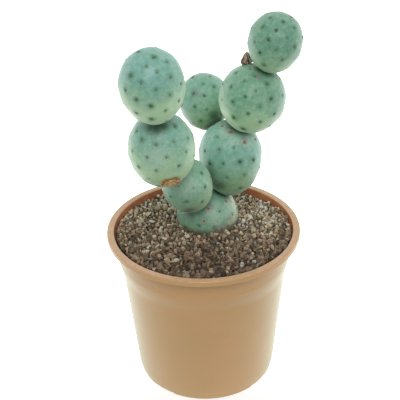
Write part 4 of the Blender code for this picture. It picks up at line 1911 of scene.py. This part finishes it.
@dataclass(frozen=True)
class Lump:
    """Where a dried lump lies: its middle, its sizes along its own axes and its last axis."""

    centre: Place
    size: Place
    axis: Place

    def placed(self, own: np.ndarray) -> np.ndarray:
        """Turns points in the lump's own axes and half sizes to the frame's metres."""
        return ((own * np.array(self.size) / 2.0) @ own_axes(self.axis).T + np.array(self.centre)) * MM


@dataclass
class DriedRemains:
    """The corky patch and the dried bud, in millimetres.

    A girth, a rise or a crest is a steady share, a share of the ridges or folds, and one of the rest.
    """

    cork: Lump = Lump((-15.6, -36.2, 139.0), (10.6, 8.4, 3.4), (0.22, -0.78, -0.58))
    cork_ridges: float = 15.0
    cork_curl: float = 0.9
    cork_wander: float = 3.0
    cork_wander_scale: float = 2.3
    cork_crumbs: float = 9.0
    cork_girth: Place = (0.90, 0.05, 0.05)
    cork_rise: Place = (1.0, 0.35, 0.2)
    cork_crest: Place = (0.10, 0.45, 0.45)
    cork_middle: float = 0.7
    bud: Lump = Lump((24.2, 16.6, 180.6), (10.2, 5.6, 7.0), (-0.03, 0.05, 1.0))
    bud_widths: Span = (1.05, 0.30)
    bud_folds: int = 7
    bud_wander: float = 4.0
    bud_wander_scale: Span = (2.0, 5.0)
    bud_twist: float = 1.5
    bud_crumple: float = 5.0
    bud_girth: Place = (0.86, 0.13, 0.12)
    bud_crest: Place = (0.15, 0.75, 0.5)
    ball_splits: int = 5

    def build(self) -> None:
        """Builds both remains."""
        directions, faces = ball(self.ball_splits)
        curl = np.arctan2(directions[:, 1], directions[:, 0])
        self.build_cork(directions, curl, faces)
        self.build_bud(directions, curl, faces)

    def build_cork(self, directions: np.ndarray, curl: np.ndarray, faces: list) -> None:
        """The corky patch: a low oval scab with ridges that curl round its middle.

        Args:
            directions: The points of a ball.
            curl: Their angles round its last axis.
            faces: Its faces.
        """
        reach = np.hypot(directions[:, 0], directions[:, 1])
        wander = self.cork_wander * lumps(directions, self.cork_wander_scale)
        ridges = 0.5 + 0.5 * np.cos(reach * self.cork_ridges + curl * self.cork_curl + wander)
        crumbs = lumps(directions, self.cork_crumbs)
        own = directions * weighed(self.cork_girth, ridges, crumbs)[:, None]
        own[:, 2] *= weighed(self.cork_rise, ridges - 0.5, crumbs)
        patch = mesh_object("corky_patch", self.cork.placed(own), faces)
        middle = np.clip(1.0 - reach / self.cork_middle, 0.0, 1.0)
        store(patch, crest=np.clip(weighed(self.cork_crest, ridges, middle), 0.0, 1.0))
        patch.data.materials.append(CORK_FINISH.material())
        keep(patch, Slot.CORK, "corky_callus")

    def build_bud(self, directions: np.ndarray, curl: np.ndarray, faces: list) -> None:
        """The dried bud: a crumpled lump whose folds run up to its pinched tip.

        Args:
            directions: The points of a ball.
            curl: Their angles round its last axis.
            faces: Its faces.
        """
        height = directions[:, 2]
        wander = self.bud_wander * lumps(directions, *self.bud_wander_scale)
        crumple = lumps(directions, self.bud_crumple)
        folds = 0.5 + 0.5 * np.cos(curl * self.bud_folds + wander + self.bud_twist * height)
        own = directions * weighed(self.bud_girth, folds, crumple)[:, None]
        foot, tip = self.bud_widths
        own[:, :2] *= (foot + (tip - foot) * (0.5 + 0.5 * height))[:, None]
        bud = mesh_object("papery_bud", self.bud.placed(own), faces)
        store(bud, crest=np.clip(weighed(self.bud_crest, folds, crumple), 0.0, 1.0))
        bud.data.materials.append(BUD_FINISH.material())
        keep(bud, Slot.BUD, "dried_bud")


@dataclass(frozen=True)
class Softbox:
    """One square soft light, in metres, aimed at the plant."""

    name: str
    place: Place
    side: float
    watts: float


@dataclass
class Studio:
    """A pale floor, a pale surround and soft lights, like a white light tent, in metres."""

    floor_radius: float = 3.0
    floor_sides: int = 96
    floor_drop: float = 0.0001
    floor_colour: Colour = (0.50, 0.50, 0.50)
    floor_roughness: float = 0.9
    glow_depths: Span = (-0.14, 0.16)
    floor_glow: Span = (0.10, 1.75)
    surround_strength: Span = (0.42, 1.22)
    aim: Place = (0.0, 0.0, 0.11)
    lights: tuple[Softbox, ...] = (
        Softbox("front_light", (0.02, -0.58, 0.78), 0.35, 3.3),
        Softbox("left_light", (-0.85, 0.30, 0.40), 0.60, 0.1),
        Softbox("right_light", (0.85, 0.35, 0.40), 0.60, 0.6),
    )

    def build(self) -> None:
        """Builds the floor, the surround and the lights."""
        self.build_floor()
        self.build_surround()
        for light in self.lights:
            self.hang(light)
        view = bpy.context.scene.view_settings
        view.view_transform = "Standard"
        view.look = "None"

    def build_floor(self) -> None:
        """A wide pale floor that glows a little, so that it holds hardly any shadow."""
        shape = bmesh.new()
        bmesh.ops.create_circle(shape, cap_ends=True, segments=self.floor_sides, radius=self.floor_radius)
        floor = drawn_object("pale_floor", shape)
        floor.location.z = -self.floor_drop
        paint = Paint("pale_floor")
        near, far = self.floor_glow
        strength = paint.times(paint.between(paint.back(paint.place), self.glow_depths), far - near)
        glow = {"Emission_Color": (*WHITE, 1.0), "Emission_Strength": paint.plus(strength, near)}
        finish = paint.finish(self.floor_colour, self.floor_roughness, Specular_IOR_Level=0.1, **glow)
        floor.data.materials.append(finish)
        floor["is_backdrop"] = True

    def build_surround(self) -> None:
        """The white surround that lights the plant from all sides, brightest behind it."""
        world = bpy.data.worlds.new("white_surround")
        world.use_nodes = True
        nodes = Nodes(world.node_tree)
        back = nodes.back(nodes.out("ShaderNodeTexCoord", output="Generated"))
        sky = nodes.tree.nodes["Background"]
        nodes.join(sky.inputs["Color"], (*WHITE, 1.0))
        nodes.join(sky.inputs["Strength"], nodes.spread(back, (-1.0, 1.0), self.surround_strength))
        bpy.context.scene.world = world

    def hang(self, light: Softbox) -> None:
        """Hangs one soft light and turns it to the plant.

        Args:
            light: The light.
        """
        data = bpy.data.lights.new(light.name, "AREA")
        data.shape = "SQUARE"
        data.size = light.side
        data.energy = light.watts
        place = Vector(light.place)
        turn = (place - Vector(self.aim)).to_track_quat("Z", "Y").to_matrix().to_4x4()
        linked(light.name, data).matrix_world = Matrix.Translation(place) @ turn


def stone_slots(record: dict) -> dict[str, Slot]:
    """The larger stones' nodes in the record's order, each with its slot."""
    rows = [(row["node"], row["material_slot"]) for row in record["subparts"]]
    return {node: Slot(slot) for node, slot in rows if node.startswith("stone_")}


def main() -> None:
    """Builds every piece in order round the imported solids."""
    logging.basicConfig(level=logging.INFO, format="%(name)s: %(message)s")
    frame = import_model()
    solid_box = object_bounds()
    SIGHT.make_camera()
    stones = Stones(stone_slots(frame["record"]))
    grit = GritBed(stones.footprints())
    Pot().build()
    grit.build()
    stones.build()
    stem = Stem(grit.level)
    stem.build()
    areoles = Areoles(stem.areoles, solid_box)
    areoles.build_wool()
    areoles.build_bristles()
    DriedRemains().build()
    root = frame["nodes"]["taproot"]
    root.data.materials.clear()
    root.data.materials.append(DryFinish().barky())
    Studio().build()
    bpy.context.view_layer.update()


if __name__ == "__main__":
    main()
